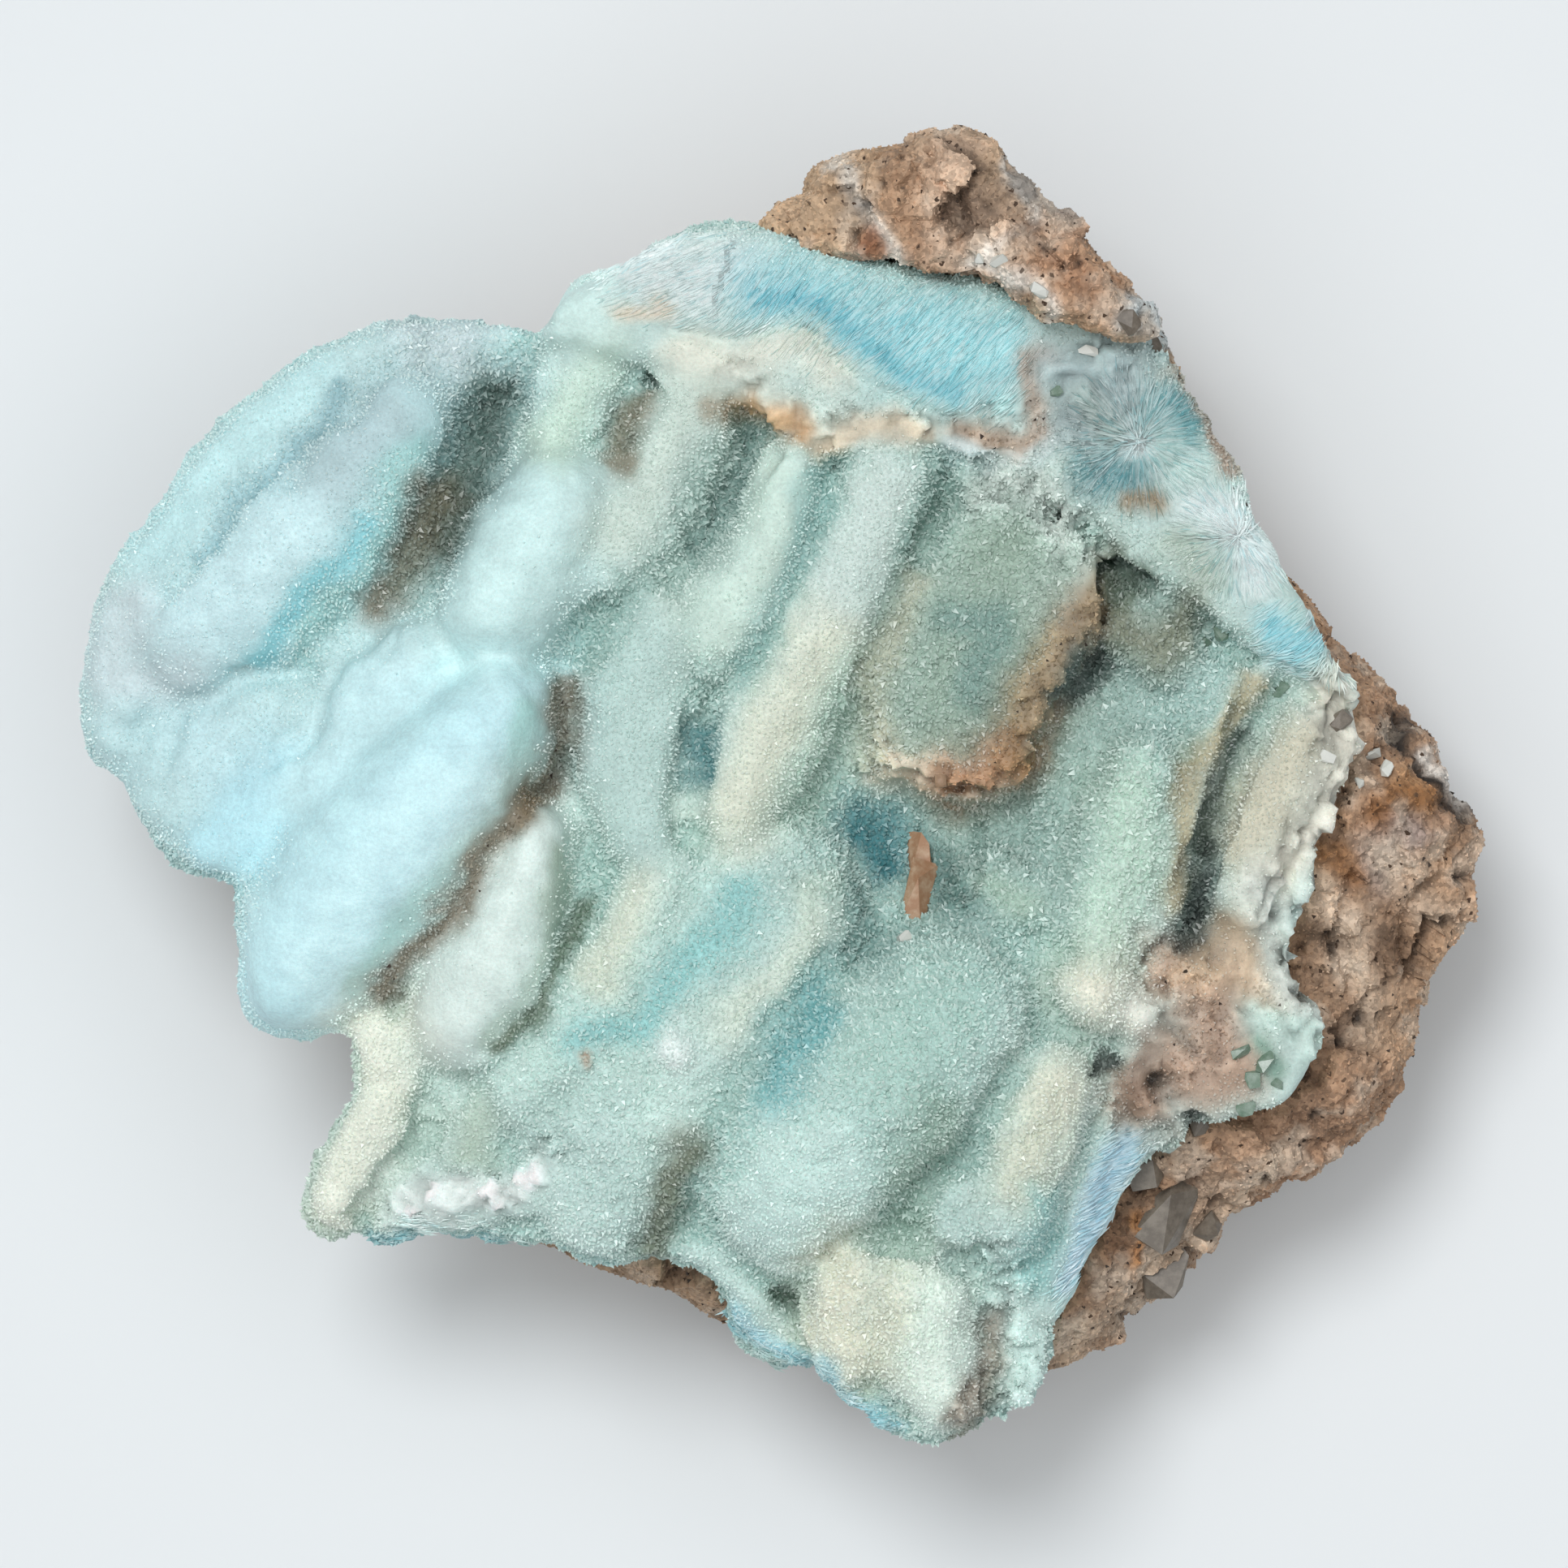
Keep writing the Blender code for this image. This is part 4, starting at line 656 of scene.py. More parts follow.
DRUSE_STROKES = {  # how coarse the druse is, from 0, velvet, to 1, sugar; reach and line in mm
    "fan": (0.14, 12, [(-34, 30), (-45, 22), (-54, 8)]),
    "fan_cap": (0.75, 3.4, [(-31, 38), (-27, 36)]),
    "fan_valley": (1, 3, [(-24, 36), (-26, 31), (-29, 24), (-31, 18)]),
    "fan_flank": (0.6, 3, [(-33, 26), (-36, 19), (-41, 13)]),
    "fan_creases": (0.6, 1.5, [(-34, 37), (-40, 31), (-47, 24.4), (-53, 17)]),
    "fan_near": (0.1, 4, [(-44, 0), (-48, -4)]),
    "middle": (0.95, 8, [(-7, 24), (-12, 12), (2, 20), (8, 24), (4, 8)]),
    "saddle": (0.75, 7, [(-6, -12), (-14, -20), (-18, -30), (-12, -36)]),
    "basin": (1, 10, [(8, -4), (18, -6), (24, 0), (30, 10)]),
    "plate": (1, 7, [(19, 22), (16, 12), (13, 4)]),
    "domes": (0.85, 8, [(15, -18), (8, -26), (4, -32)]),
    "low_dome": (0.45, 5.4, [(-1, -35), (3, -35)]),
    "dome_lee": (0.95, 2.6, [(3, -17), (-3, -26), (-9, -37)]),
    "near": (0.7, 6, [(20, -30), (14, -40), (8, -47)]),
    "bank": (0.9, 3.6, [(30, 1), (29, -8), (28, -13)]),
    "slot_sides": (0.6, 3, [(42, 7), (38, 2), (36, -6)]),
    "corner": (0.55, 3, [(-31, -28), (-28, -32), (-36, -34)]),
    "finger_lee": (0.8, 1.3, [(-19, 8), (-20, 3), (-22.6, -1.6), (-29.4, -11.4), (-35.4, -17.6)]),
    "lean_lee": (0.8, 1.6, [(-17, -2), (-18, -13), (-21, -19), (-25, -24)]),
    "knobs": (0.7, 3, [(26.5, -17.5), (30.6, -19.5)]),
    "outer_ridge": (0.35, 3.4, [(44, 3), (41, -5)]),
    "outer_rim": (0.04, 3, [(48, 8), (48, 0), (44, -6), (43, -13), (46, -20), (44, -26)]),
    "egg": (0.04, 6.2, [(-19.6, 25), (-22.6, 19.6), (-25.4, 14.6)]),
    "great_finger": (0, 7.4, [(-25, 7), (-30, 0), (-36, -7), (-41, -14), (-43, -17)]),
    "shoulder": (0.05, 5, [(-33, 10), (-37, 5), (-40.6, -1)]),
    "lean_finger": (0.06, 5, [(-21.6, -4), (-24.4, -12), (-28.6, -20)]),
    "plate_rim": (0.1, 2, [(9, 1), (16, 0), (20.6, 3.4), (22.6, 9), (26, 14), (26.6, 18)]),
    "long_ridge": (0.34, 3.4, [(3, 13), (0, 6), (-4, -2)]),
    "second_ridge": (0.34, 3, [(8, 26), (6, 20), (3.6, 14)]),
    "lower_column": (0.3, 3.6, [(-11, 13), (-13.4, 4), (-12.6, -4)]),
    "drip": (0.12, 3.4, [(-0.6, 26), (-2.6, 20), (-5.8, 14)]),
    "curtain": (0.35, 3.6, [(-17, 39), (-19, 33)]),
    "upper_column": (0.3, 3.2, [(-9, 34), (-11.6, 27), (-14.4, 21)]),
    "ledge": (0, 5, [(-17, 41), (-8, 42), (4, 39), (18, 36)]),
    "lip": (0, 1.4, [(-9, 36), (-2, 34), (2, 30.6), (12, 30.6), (20, 30)]),
    "band": (0, 4.2, [(26, 35), (32, 28), (37, 21), (45, 13), (48, 9)]),
    "broken_ridge": (0.05, 2, [(-32, -36), (-26, -36), (-21, -34)]),
    "pink_bank": (0.1, 4, [(34, -17), (32, -26), (38, -21), (40, -14)]),
    "blue_edge": (0, 2, [(30, -31), (26, -38), (24, -44)]),
    "chips": (0.1, 2.4, [(48, 7), (50, 2), (48, -3)]),
}

FIBRES = {  # silky broken faces: direction of the fibres in degrees from +X, reach and line in mm
    "ledge": (47, 4.8, [(-3, 42.6), (6, 40), (12, 38.6), (17, 37.4)]),
    "ledge_far": (25, 3.6, [(-13, 44), (-6, 44)]),
    "near_blue_edge": (20, 1.8, [(30, -31.4), (26.4, -37), (24.4, -43)]),
    "left_near_edge": (12, 1.3, [(-33, -38.6), (-26, -39.2), (-20, -41), (-12, -43), (-3, -47.6),
                                 (9, -54.6)]),
    "aqua_end": (35, 2.6, [(42, 13.4), (46, 12.4)]),
}
SPRAYS = {  # sprays of fibres: reach in mm, and the middle that they run away from
    "far_spray": (6.2, (30.2, 29.8)),
    "star": (5.6, (38.8, 21.6)),
    "rim_spray": (3.4, (47.4, 12)),
}
CRUMBLY = {  # broken, crumbly ground: reach and line in mm
    "plate_head": (3, [(17, 25.6), (20.6, 26), (24, 22)]),
    "pink_bank": (4, [(34, -16), (38, -18), (34, -24), (31, -28)]),
    "outer": (3.4, [(47, 7), (49, 0), (45, -4), (43, -11), (46, -20)]),
    "plate_rim": (1.6, [(8, 3), (14, 0), (20.4, 3), (22.6, 9), (26.4, 15)]),
    "broken_ridge": (2.4, [(-32, -36), (-24, -35), (-20, -32)]),
    "lip": (1.6, [(-5, 36), (1, 31), (8, 31), (16, 31), (21, 33), (24, 37)]),
    "band": (3.6, [(26, 36), (29, 38), (27, 31)]),
    "right_mint": (3, [(41, -18), (46, -22)]),
    "near_flank": (3, [(18, -42), (20, -48), (17, -54)]),
}


def near_line(x, y, line):
    """How far places lie from a line of (x, y, half width), as a share of its half width there."""
    nearest = np.full(len(x), np.inf)
    ends = line[1:] if len(line) > 1 else line
    for (x0, y0, w0), (x1, y1, w1) in zip(line, ends):
        dx, dy = x1 - x0, y1 - y0
        share = np.clip(((x - x0) * dx + (y - y0) * dy) / max(dx * dx + dy * dy, 1e-9), 0, 1)
        away = np.hypot(x - x0 - share * dx, y - y0 - share * dy)
        nearest = np.minimum(nearest, away / (w0 + share * (w1 - w0)))
    return nearest


def blurred(grid, rounds):
    """A grid averaged with its neighbours, again and again."""
    for _ in range(rounds):
        for axis in (0, 1):
            grid = (np.roll(grid, 1, axis) + 2 * grid + np.roll(grid, -1, axis)) / 4
    return grid


GRID_CELL, GRID_EDGE = 0.5, 72  # mm, of the square grid that holds heights seen from above


def top_heights(places):
    """The highest point in each cell of the grid, which cells are filled, and each point's cell."""
    columns = ((places[:, :2] + GRID_EDGE) / GRID_CELL).astype(int)
    size = int(2 * GRID_EDGE / GRID_CELL)
    grid = np.full((size, size), -np.inf)
    np.maximum.at(grid, (columns[:, 0], columns[:, 1]), places[:, 2])
    for pick in (np.max, np.min):  # a cell between two points of the skin takes its neighbours' height
        for axis in (0, 1):
            grid = pick([np.roll(grid, 1, axis), grid, np.roll(grid, -1, axis)], axis=0)
    known = np.isfinite(grid)
    return np.where(known, grid, 0), known.astype(float), (columns[:, 0], columns[:, 1])


def averaged(top, known, rounds):
    """The blurred height of the filled cells."""
    return blurred(top, rounds) / np.maximum(blurred(known, rounds), 1e-6)


def above_surroundings(places, rounds):
    """How far each place lies above the blurred top surface around it, and below the very top, in mm."""
    top, known, own = top_heights(places)
    return places[:, 2] - averaged(top, known, rounds)[own], top[own] - places[:, 2]


def sampled(grid, places):
    """The grid's value at each place, blended from the four nearest cells."""
    spot = (places[:, :2] + GRID_EDGE) / GRID_CELL - 0.5
    low = spot.astype(int)
    part = spot - low
    value = 0
    for dx in (0, 1):
        for dy in (0, 1):
            weight = np.abs(1 - dx - part[:, 0]) * np.abs(1 - dy - part[:, 1])
            value = value + weight * grid[low[:, 0] + dx, low[:, 1] + dy]
    return value


def sheet_cover(places, outline, rim):
    """1 well inside an outline seen from above, rounded off towards its edge, and 0 outside it."""
    x, y = places[:, 0], places[:, 1]
    inside = np.zeros(len(places), bool)
    for (x0, y0), (x1, y1) in zip(outline, outline[1:] + outline[:1]):
        crossed = (y0 > y) != (y1 > y)
        inside ^= crossed & (x < (x1 - x0) * (y - y0) / (y1 - y0 if y1 != y0 else 1) + x0)
    near = np.clip(line_distance(places, outline + outline[:1]) / rim, 0, 1)
    return inside * np.sqrt(near * (2 - near))


# The growths are sculpted on the grid with wandering outlines. They stand on the crust's own smoothed level,
# and the whole thickness of the crust moves with them.
crust = fine_copy("aragonite_crust", "blue_aragonite_crust", CRUST_CAD_VOXEL, 6)
crust_places = places_of(crust.data)
steps = np.arange(-GRID_EDGE, GRID_EDGE, GRID_CELL) + GRID_CELL / 2
grid_places = np.stack([part.ravel() for part in np.meshgrid(steps, steps, [0], indexing="ij")], 1)
bent = wandering(wandering(grid_places, 4, 0.7, 9), 1.4, 0.3, 4)
growth = np.zeros(len(bent))
for lift, line in LOBES.values():
    within = np.clip(1 - near_line(bent[:, 0], bent[:, 1], line) ** 2, 0, 1)
    growth = np.maximum(growth, GROWTH * lift * np.sqrt(within))
for height, rise, rim, outline in SHEETS.values():
    growth = np.maximum(growth, (height + rise * bent[:, 0]) * sheet_cover(bent, outline, rim))
for reach, depth, line in HOLLOWS.values():
    growth -= depth * stroke(bent, line, reach, 3) * eased(growth, 2.4, 0)
growth = blurred(growth.reshape(len(steps), -1), 1)
top, known, own = top_heights(crust_places)
wanted = averaged(top, known, 250) - GROUND_DROP + growth
inside_rim = eased(blurred(known, 30), 0.52, 0.84)
change = np.clip(wanted - averaged(top, known, 1), LOWEST_CHANGE, HIGHEST_CHANGE) * inside_rim
crust_places[:, 2] += sampled(change, crust_places)
overhang = stroke(crust_places, FAR_RIM, 2.6, 4) * eased(top[own] - crust_places[:, 2], 6, 3)
crust_places[:, :2] += overhang[:, None] * np.array([0.4, 1.8])
set_places(crust.data, crust_places)
evened(crust, CRUST_VOXEL, 2)
thinned(crust, hidden_by(crust.data, "rock_matrix", way=-1, reach=12, spare=1), CRUST_TRIANGLES)

crust_places = places_of(crust.data)
crust_normals = normals_of(crust.data)
drifting = wandering(wandering(crust_places, 5, 1.5, 3), 1.3, 0.5, 8)
above, beneath = above_surroundings(crust_places, 50)
close_above = above_surroundings(crust_places, 6)[0]
seen = 1 - eased(beneath, 1, 3.4)
valley = 1 - eased(above, -2.4, 0)
crest = eased(above, 0.6, 2.6)

druse = 0.4 + 0.4 * valley
for amount, reach, line in DRUSE_STROKES.values():
    druse += (amount - druse) * 0.9 * stroke(drifting, line, reach, 4)
druse = np.clip(druse + 0.22 * valley * (druse > 0.1) - 0.25 * crest * (druse < 0.8), 0, 1)
crumbly = np.zeros(len(crust_places))
for reach, line in CRUMBLY.values():
    crumbly = np.maximum(crumbly, stroke(drifting, line, reach, 4))

fibre = np.zeros(len(crust_places))
lay = np.zeros((len(crust_places), 3))
across = np.zeros(len(crust_places))
for degrees, reach, line in FIBRES.values():
    cover = stroke(drifting, line, reach, 3)
    bend = np.radians(degrees + 12 * fractal(crust_places, 8, 2, 21))
    way = np.stack([np.cos(bend), np.sin(bend), np.zeros(len(bend))], 1)
    stronger = cover > fibre
    lay[stronger] = way[stronger]
    turn = math.radians(degrees)
    side = crust_places[:, 1] * math.cos(turn) - crust_places[:, 0] * math.sin(turn)
    across[stronger] = side[stronger]
    fibre = np.maximum(fibre, cover)
for reach, middle in SPRAYS.values():
    away = crust_places[:, :2] - np.array(middle)
    far = np.linalg.norm(away, axis=1)
    cover = np.exp(-((far / reach) ** 6))
    stronger = cover > fibre
    lay[stronger, :2] = (away / np.maximum(far, 1e-6)[:, None])[stronger]
    across[stronger] = (np.arctan2(away[:, 1], away[:, 0]) * 4)[stronger]
    fibre = np.maximum(fibre, cover)
fibre *= eased(crust_normals[:, 2], -0.3, 0.2)

pebbles = lumps(crust_places, 1.3, 2)
crumbs = broken(crust_places, 2, 12)
bumps = 0.5 * (lumps(wandering(crust_places, 3, 1, 5), 4.2, 7) - 0.45)
relief = bumps * eased(druse, 0.15, 0.6) + 0.14 * fractal(crust_places, 4.5, 3, 1)
relief += 0.07 * fractal(crust_places, 0.9, 2, 6)
relief += 0.5 * (pebbles - 0.4) * eased(druse, 0.3, 1)
relief += crumbly * (0.55 * crumbs + 0.5 * (pebbles - 0.4))
ridges = 1 - np.abs(fractal(np.stack([across, crust_places[:, 2] * 0.3, fibre], 1), 0.9, 2, 4))
relief += 0.3 * (ridges - 0.6) * fibre + 0.45 * fractal(crust_places, 2.4, 3, 31) * fibre
for width, depth, line in CRUST_GROOVES.values():
    relief -= depth * stroke(drifting, line, width, 2) * seen
for radius, depth, spots in CRUST_PITS.values():
    relief -= depth * spot_cover(drifting, spots, radius) * seen
for radius, height, spots in CRUST_BUMPS.values():
    relief += height * spot_cover(crust_places, spots, radius) * seen
set_places(crust.data, crust_places + crust_normals * relief[:, None])

colours = brushed(drifting, "#bfd8d3", CRUST_PAINT)
# Valleys are lightened to offset the painted shade in the valley strokes, and crests a little: a slight
# painted highlight.
colours *= (1.06 + 0.03 * crest + 0.16 * valley)[:, None]
# Small bumps are painted lighter and small hollows darker: painted light and shade.
colours *= (1 + 0.1 * np.clip(close_above / 0.5, -1, 1) * (0.4 + druse))[:, None]
colours *= 1 - eased(druse, 0.5, 1)[:, None] * np.array([0.26, 0.16, 0.17])
# On crumbly ground the raised crumbs are painted lighter and the sunken ones darker: painted light and
# shade.
colours *= (1 + 0.35 * crumbly * np.clip(crumbs + 0.6 * (pebbles - 0.5), -1, 1))[:, None]
# The pits are painted nearly black: painted shade inside them.
for radius, _, spots in CRUST_PITS.values():
    pit_shade = np.clip(spot_cover(drifting, spots, radius), 0, 1)
    colours = tinted(colours, "#2e2f2b", 0.85 * pit_shade)
light = np.clip(colours @ np.array([0.3, 0.55, 0.15]) / 0.6, 0, 1)
set_attribute(crust.data, "tint", with_alpha(colours))
set_attribute(crust.data, "tips", with_alpha(tinted(colours, "#eefaf4", 0.1 + 0.75 * light)))
set_attribute(crust.data, "druse", druse)
set_attribute(crust.data, "fibre", fibre)
set_attribute(crust.data, "lay", lay)
set_attribute(crust.data, "threads", np.stack([across, crust_places @ np.array([0.3, 0.3, 0.3]), fibre], 1))
shown = eased(normals_of(crust.data)[:, 2], -0.05, 0.4)

# Aragonite crust: translucent carbonate, soft to the eye like velvet or frost, because its skin is a nap of
# crystals a third of a millimetre apart. Broken faces show silky threads in white and turquoise.
aragonite, crust_shader, nodes = new_material("velvety_blue_aragonite", 0.6, 1.63)
crust_shader.inputs["Subsurface Weight"].default_value = 0.2
crust_shader.inputs["Subsurface Radius"].default_value = (0.8, 1.2, 1.3)
crust_shader.inputs["Subsurface Scale"].default_value = 0.7 * MM
place = add_node(nodes, "ShaderNodeTexCoord").outputs["Object"]
kept = {name: add_node(nodes, "ShaderNodeAttribute", {"attribute_name": name}).outputs
        for name in ("tint", "druse", "fibre", "threads")}
cloud = add_node(nodes, "ShaderNodeTexNoise", links={
    "Vector": place, "Scale": 1 / (3 * MM), "Detail": 6.0, "Roughness": 0.68}).outputs["Fac"]
cloud_tone = add_node(nodes, "ShaderNodeMapRange", links={
    "Value": cloud, "From Min": 0.3, "From Max": 0.7, "To Min": 0.87, "To Max": 1.1}).outputs["Result"]
clouded = add_node(nodes, "ShaderNodeVectorMath", {"operation": "SCALE"}, {
    0: kept["tint"]["Color"], "Scale": cloud_tone}).outputs["Vector"]
nap = add_node(nodes, "ShaderNodeTexNoise", links={
    "Vector": place, "Scale": 1 / (0.3 * MM), "Detail": 2.0, "Roughness": 0.7}).outputs["Fac"]
nap_depth = add_node(nodes, "ShaderNodeMapRange", links={
    "Value": kept["druse"]["Fac"], "To Min": 0.08, "To Max": 0.24}).outputs["Result"]
nap_signed = add_node(nodes, "ShaderNodeMapRange", links={
    "Value": nap, "From Min": 0.3, "From Max": 0.7, "To Min": -1.0, "To Max": 1.0}).outputs["Result"]
nap_tone = add_node(nodes, "ShaderNodeMath", {"operation": "MULTIPLY_ADD"}, {
    0: nap_signed, 1: nap_depth, 2: 1.0}).outputs["Value"]
napped = add_node(nodes, "ShaderNodeVectorMath", {"operation": "SCALE"}, {
    0: clouded, "Scale": nap_tone}).outputs["Vector"]
stretched = add_node(nodes, "ShaderNodeVectorMath", {"operation": "MULTIPLY"}, {
    0: kept["threads"]["Vector"], 1: (3.4, 0.35, 0.0)}).outputs["Vector"]
thread = add_node(nodes, "ShaderNodeTexNoise", links={
    "Vector": stretched, "Scale": 1.0, "Detail": 4.0, "Roughness": 0.65}).outputs["Fac"]
thread_light = add_node(nodes, "ShaderNodeMapRange", links={
    "Value": thread, "From Min": 0.5, "From Max": 0.68, "To Max": 0.4}).outputs["Result"]
thread_dark = add_node(nodes, "ShaderNodeMapRange", links={
    "Value": thread, "From Min": 0.47, "From Max": 0.33, "To Max": 0.3}).outputs["Result"]
light_share = add_node(nodes, "ShaderNodeMath", {"operation": "MULTIPLY"}, {
    0: thread_light, 1: kept["fibre"]["Fac"]}).outputs["Value"]
dark_share = add_node(nodes, "ShaderNodeMath", {"operation": "MULTIPLY"}, {
    0: thread_dark, 1: kept["fibre"]["Fac"]}).outputs["Value"]
white_threads = add_node(nodes, "ShaderNodeMix", {"data_type": "RGBA"}, {
    "Factor": light_share, "A": napped, "B": (*linear("#eaf5f6"), 1)}).outputs["Result"]
blue_threads = add_node(nodes, "ShaderNodeMix", {"data_type": "RGBA"}, {
    "Factor": dark_share, "A": white_threads, "B": (*linear("#74c0cc"), 1)}).outputs["Result"]
nodes.links.new(blue_threads, crust_shader.inputs["Base Color"])
nap_bump = add_node(nodes, "ShaderNodeBump", links={
    "Strength": 0.5, "Distance": 0.14 * MM, "Height": nap}).outputs["Normal"]
thread_bump = add_node(nodes, "ShaderNodeBump", links={
    "Strength": kept["fibre"]["Fac"], "Distance": 0.25 * MM, "Height": thread,
    "Normal": nap_bump}).outputs["Normal"]
nodes.links.new(thread_bump, crust_shader.inputs["Normal"])
crust.data.materials.clear()
crust.data.materials.append(aragonite)
crust.data.shade_smooth()
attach(crust, "root")
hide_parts("aragonite_crust")


# The druse: a carpet of tiny pointed aragonite crystals that stand on the crust, coarse and sparkling in the
# valleys, the basin and on the plate, and fading to velvet on the smooth fingers.

DRUSE_REGIONS = {  # western and eastern limit in mm, and the distance between crystals in mm
    "druse_of_the_fan": (-70, -18, 0.31),
    "druse_of_the_columns": (-18, -2, 0.3),
    "druse_of_the_middle": (-2, 12, 0.3),
    "druse_of_the_basin": (12, 24, 0.3),
    "druse_of_the_bank": (24, 60, 0.31),
}


def scatter_tree(name):
    """Geometry nodes that stand or lay small shapes on a surface, thickest where its mask is highest."""
    tree = bpy.data.node_groups.new(name, "GeometryNodeTree")
    sockets = {
        "Surface": "NodeSocketGeometry", "Shape": "NodeSocketObject", "Mask": "NodeSocketString",
        "Spacing": "NodeSocketFloat", "Smallest": "NodeSocketFloat", "Largest": "NodeSocketFloat",
        "Tilt": "NodeSocketFloat", "Turn": "NodeSocketFloat", "Follow": "NodeSocketFloat",
        "Finish": "NodeSocketMaterial", "Seed": "NodeSocketInt"}
    for socket, kind in sockets.items():
        tree.interface.new_socket(socket, in_out="INPUT", socket_type=kind)
    tree.interface.new_socket("Pieces", in_out="OUTPUT", socket_type="NodeSocketGeometry")
    given = add_node(tree, "NodeGroupInput").outputs
    mask = add_node(tree, "GeometryNodeInputNamedAttribute", links={
        "Name": given["Mask"]}).outputs["Attribute"]
    density = add_node(tree, "ShaderNodeMapRange", links={
        "Value": mask, "From Min": 0.06, "From Max": 0.34}).outputs["Result"]
    spread = add_node(tree, "GeometryNodeDistributePointsOnFaces", {"distribute_method": "POISSON"}, {
        "Mesh": given["Surface"], "Distance Min": given["Spacing"], "Density Max": 2e7,
        "Density Factor": density, "Seed": given["Seed"]})
    lay = add_node(tree, "GeometryNodeInputNamedAttribute", {"data_type": "FLOAT_VECTOR"}, {
        "Name": "lay"}).outputs["Attribute"]
    along = add_node(tree, "FunctionNodeAlignRotationToVector", {"axis": "X", "pivot_axis": "Z"}, {
        "Rotation": spread.outputs["Rotation"], "Factor": given["Follow"],
        "Vector": lay}).outputs["Rotation"]
    lean = add_node(tree, "FunctionNodeRandomValue", {"data_type": "FLOAT_VECTOR"}, {
        "Min": (-1.0, -1.0, -1.0), "Max": (1.0, 1.0, 1.0), "Seed": given["Seed"]}).outputs["Value"]
    leeway = add_node(tree, "ShaderNodeCombineXYZ", links={
        "X": given["Tilt"], "Y": given["Tilt"], "Z": given["Turn"]}).outputs["Vector"]
    leaning = add_node(tree, "ShaderNodeVectorMath", {"operation": "MULTIPLY"}, {
        0: lean, 1: leeway}).outputs["Vector"]
    lean_turn = add_node(tree, "FunctionNodeEulerToRotation", links={"Euler": leaning}).outputs["Rotation"]
    turned = add_node(tree, "FunctionNodeRotateRotation", {"rotation_space": "LOCAL"}, {
        "Rotation": along, "Rotate By": lean_turn}).outputs["Rotation"]
    chance = add_node(tree, "FunctionNodeRandomValue", {"data_type": "FLOAT"}, {
        "Min": given["Smallest"], "Max": given["Largest"], "Seed": given["Seed"]}).outputs["Value"]
    coarse = add_node(tree, "ShaderNodeMapRange", links={
        "Value": mask, "From Min": 0.1, "To Min": 0.55, "To Max": 1.1}).outputs["Result"]
    size = add_node(tree, "ShaderNodeMath", {"operation": "MULTIPLY"}, {
        0: chance, 1: coarse}).outputs["Value"]
    shape = add_node(tree, "GeometryNodeObjectInfo", links={"Object": given["Shape"]}).outputs["Geometry"]
    stood = add_node(tree, "GeometryNodeInstanceOnPoints", links={
        "Points": spread.outputs["Points"], "Instance": shape, "Rotation": turned,
        "Scale": size}).outputs["Instances"]
    luck = add_node(tree, "FunctionNodeRandomValue", {"data_type": "FLOAT"}, {
        "Min": 0.0, "Max": 1.0, "Seed": 7}).outputs["Value"]
    marked = add_node(tree, "GeometryNodeStoreNamedAttribute", {
        "data_type": "FLOAT", "domain": "INSTANCE"}, {
        "Geometry": stood, "Name": "luck", "Value": luck}).outputs["Geometry"]
    real = add_node(tree, "GeometryNodeRealizeInstances", links={"Geometry": marked}).outputs["Geometry"]
    dressed = add_node(tree, "GeometryNodeSetMaterial", links={
        "Geometry": real, "Material": given["Finish"]}).outputs["Geometry"]
    add_node(tree, "NodeGroupOutput", links={"Pieces": dressed})
    return tree


def scattered(name, host, tree, slot, **values):
    """A new piece: the shapes that the tree puts on the host, as one plain mesh."""
    made = new_object(name, host.data)
    scatter = made.modifiers.new("Scatter", "NODES")
    scatter.node_group = tree
    sockets = {item.name: item.identifier for item in tree.interface.items_tree if item.in_out == "INPUT"}
    for key, value in values.items():
        scatter[sockets[key]] = value
    applied(made).name = name
    made.data.shade_flat()
    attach(made, "root")
    return made


def small_shape(name, corners, faces, tips):
    """A small closed shape, in mm, with a number at each corner: 0 at its foot and 1 at its tip."""
    mesh = bpy.data.meshes.new(name)
    mesh.from_pydata([(x * MM, y * MM, z * MM) for x, y, z in corners], [], faces)
    set_attribute(mesh, "tip", tips)
    return new_object(name, mesh)


# Druse crystals: clear to frosted aragonite. Their feet take the colour of the crust and their tips a paler
# one, nearly white on pale ground, so from a step away they read as light dots over a darker ground.
frosted, frost_shader, nodes = new_material("frosted_aragonite_crystals", 0.35, 1.63)
tint = add_node(nodes, "ShaderNodeAttribute", {"attribute_name": "tint"}).outputs["Color"]
tip = add_node(nodes, "ShaderNodeAttribute", {"attribute_name": "tip"}).outputs["Fac"]
luck = add_node(nodes, "ShaderNodeAttribute", {"attribute_name": "luck"}).outputs["Fac"]
luck_white = add_node(nodes, "ShaderNodeMapRange", links={
    "Value": luck, "To Min": 0.4, "To Max": 1.0}).outputs["Result"]
high = add_node(nodes, "ShaderNodeMapRange", links={
    "Value": tip, "To Min": 0.05, "To Max": 1.0}).outputs["Result"]
white_share = add_node(nodes, "ShaderNodeMath", {"operation": "MULTIPLY"}, {
    0: high, 1: luck_white}).outputs["Value"]
tips = add_node(nodes, "ShaderNodeAttribute", {"attribute_name": "tips"}).outputs["Color"]
frost = add_node(nodes, "ShaderNodeMix", {"data_type": "RGBA"}, {
    "Factor": white_share, "A": tint, "B": tips}).outputs["Result"]
nodes.links.new(frost, frost_shader.inputs["Base Color"])

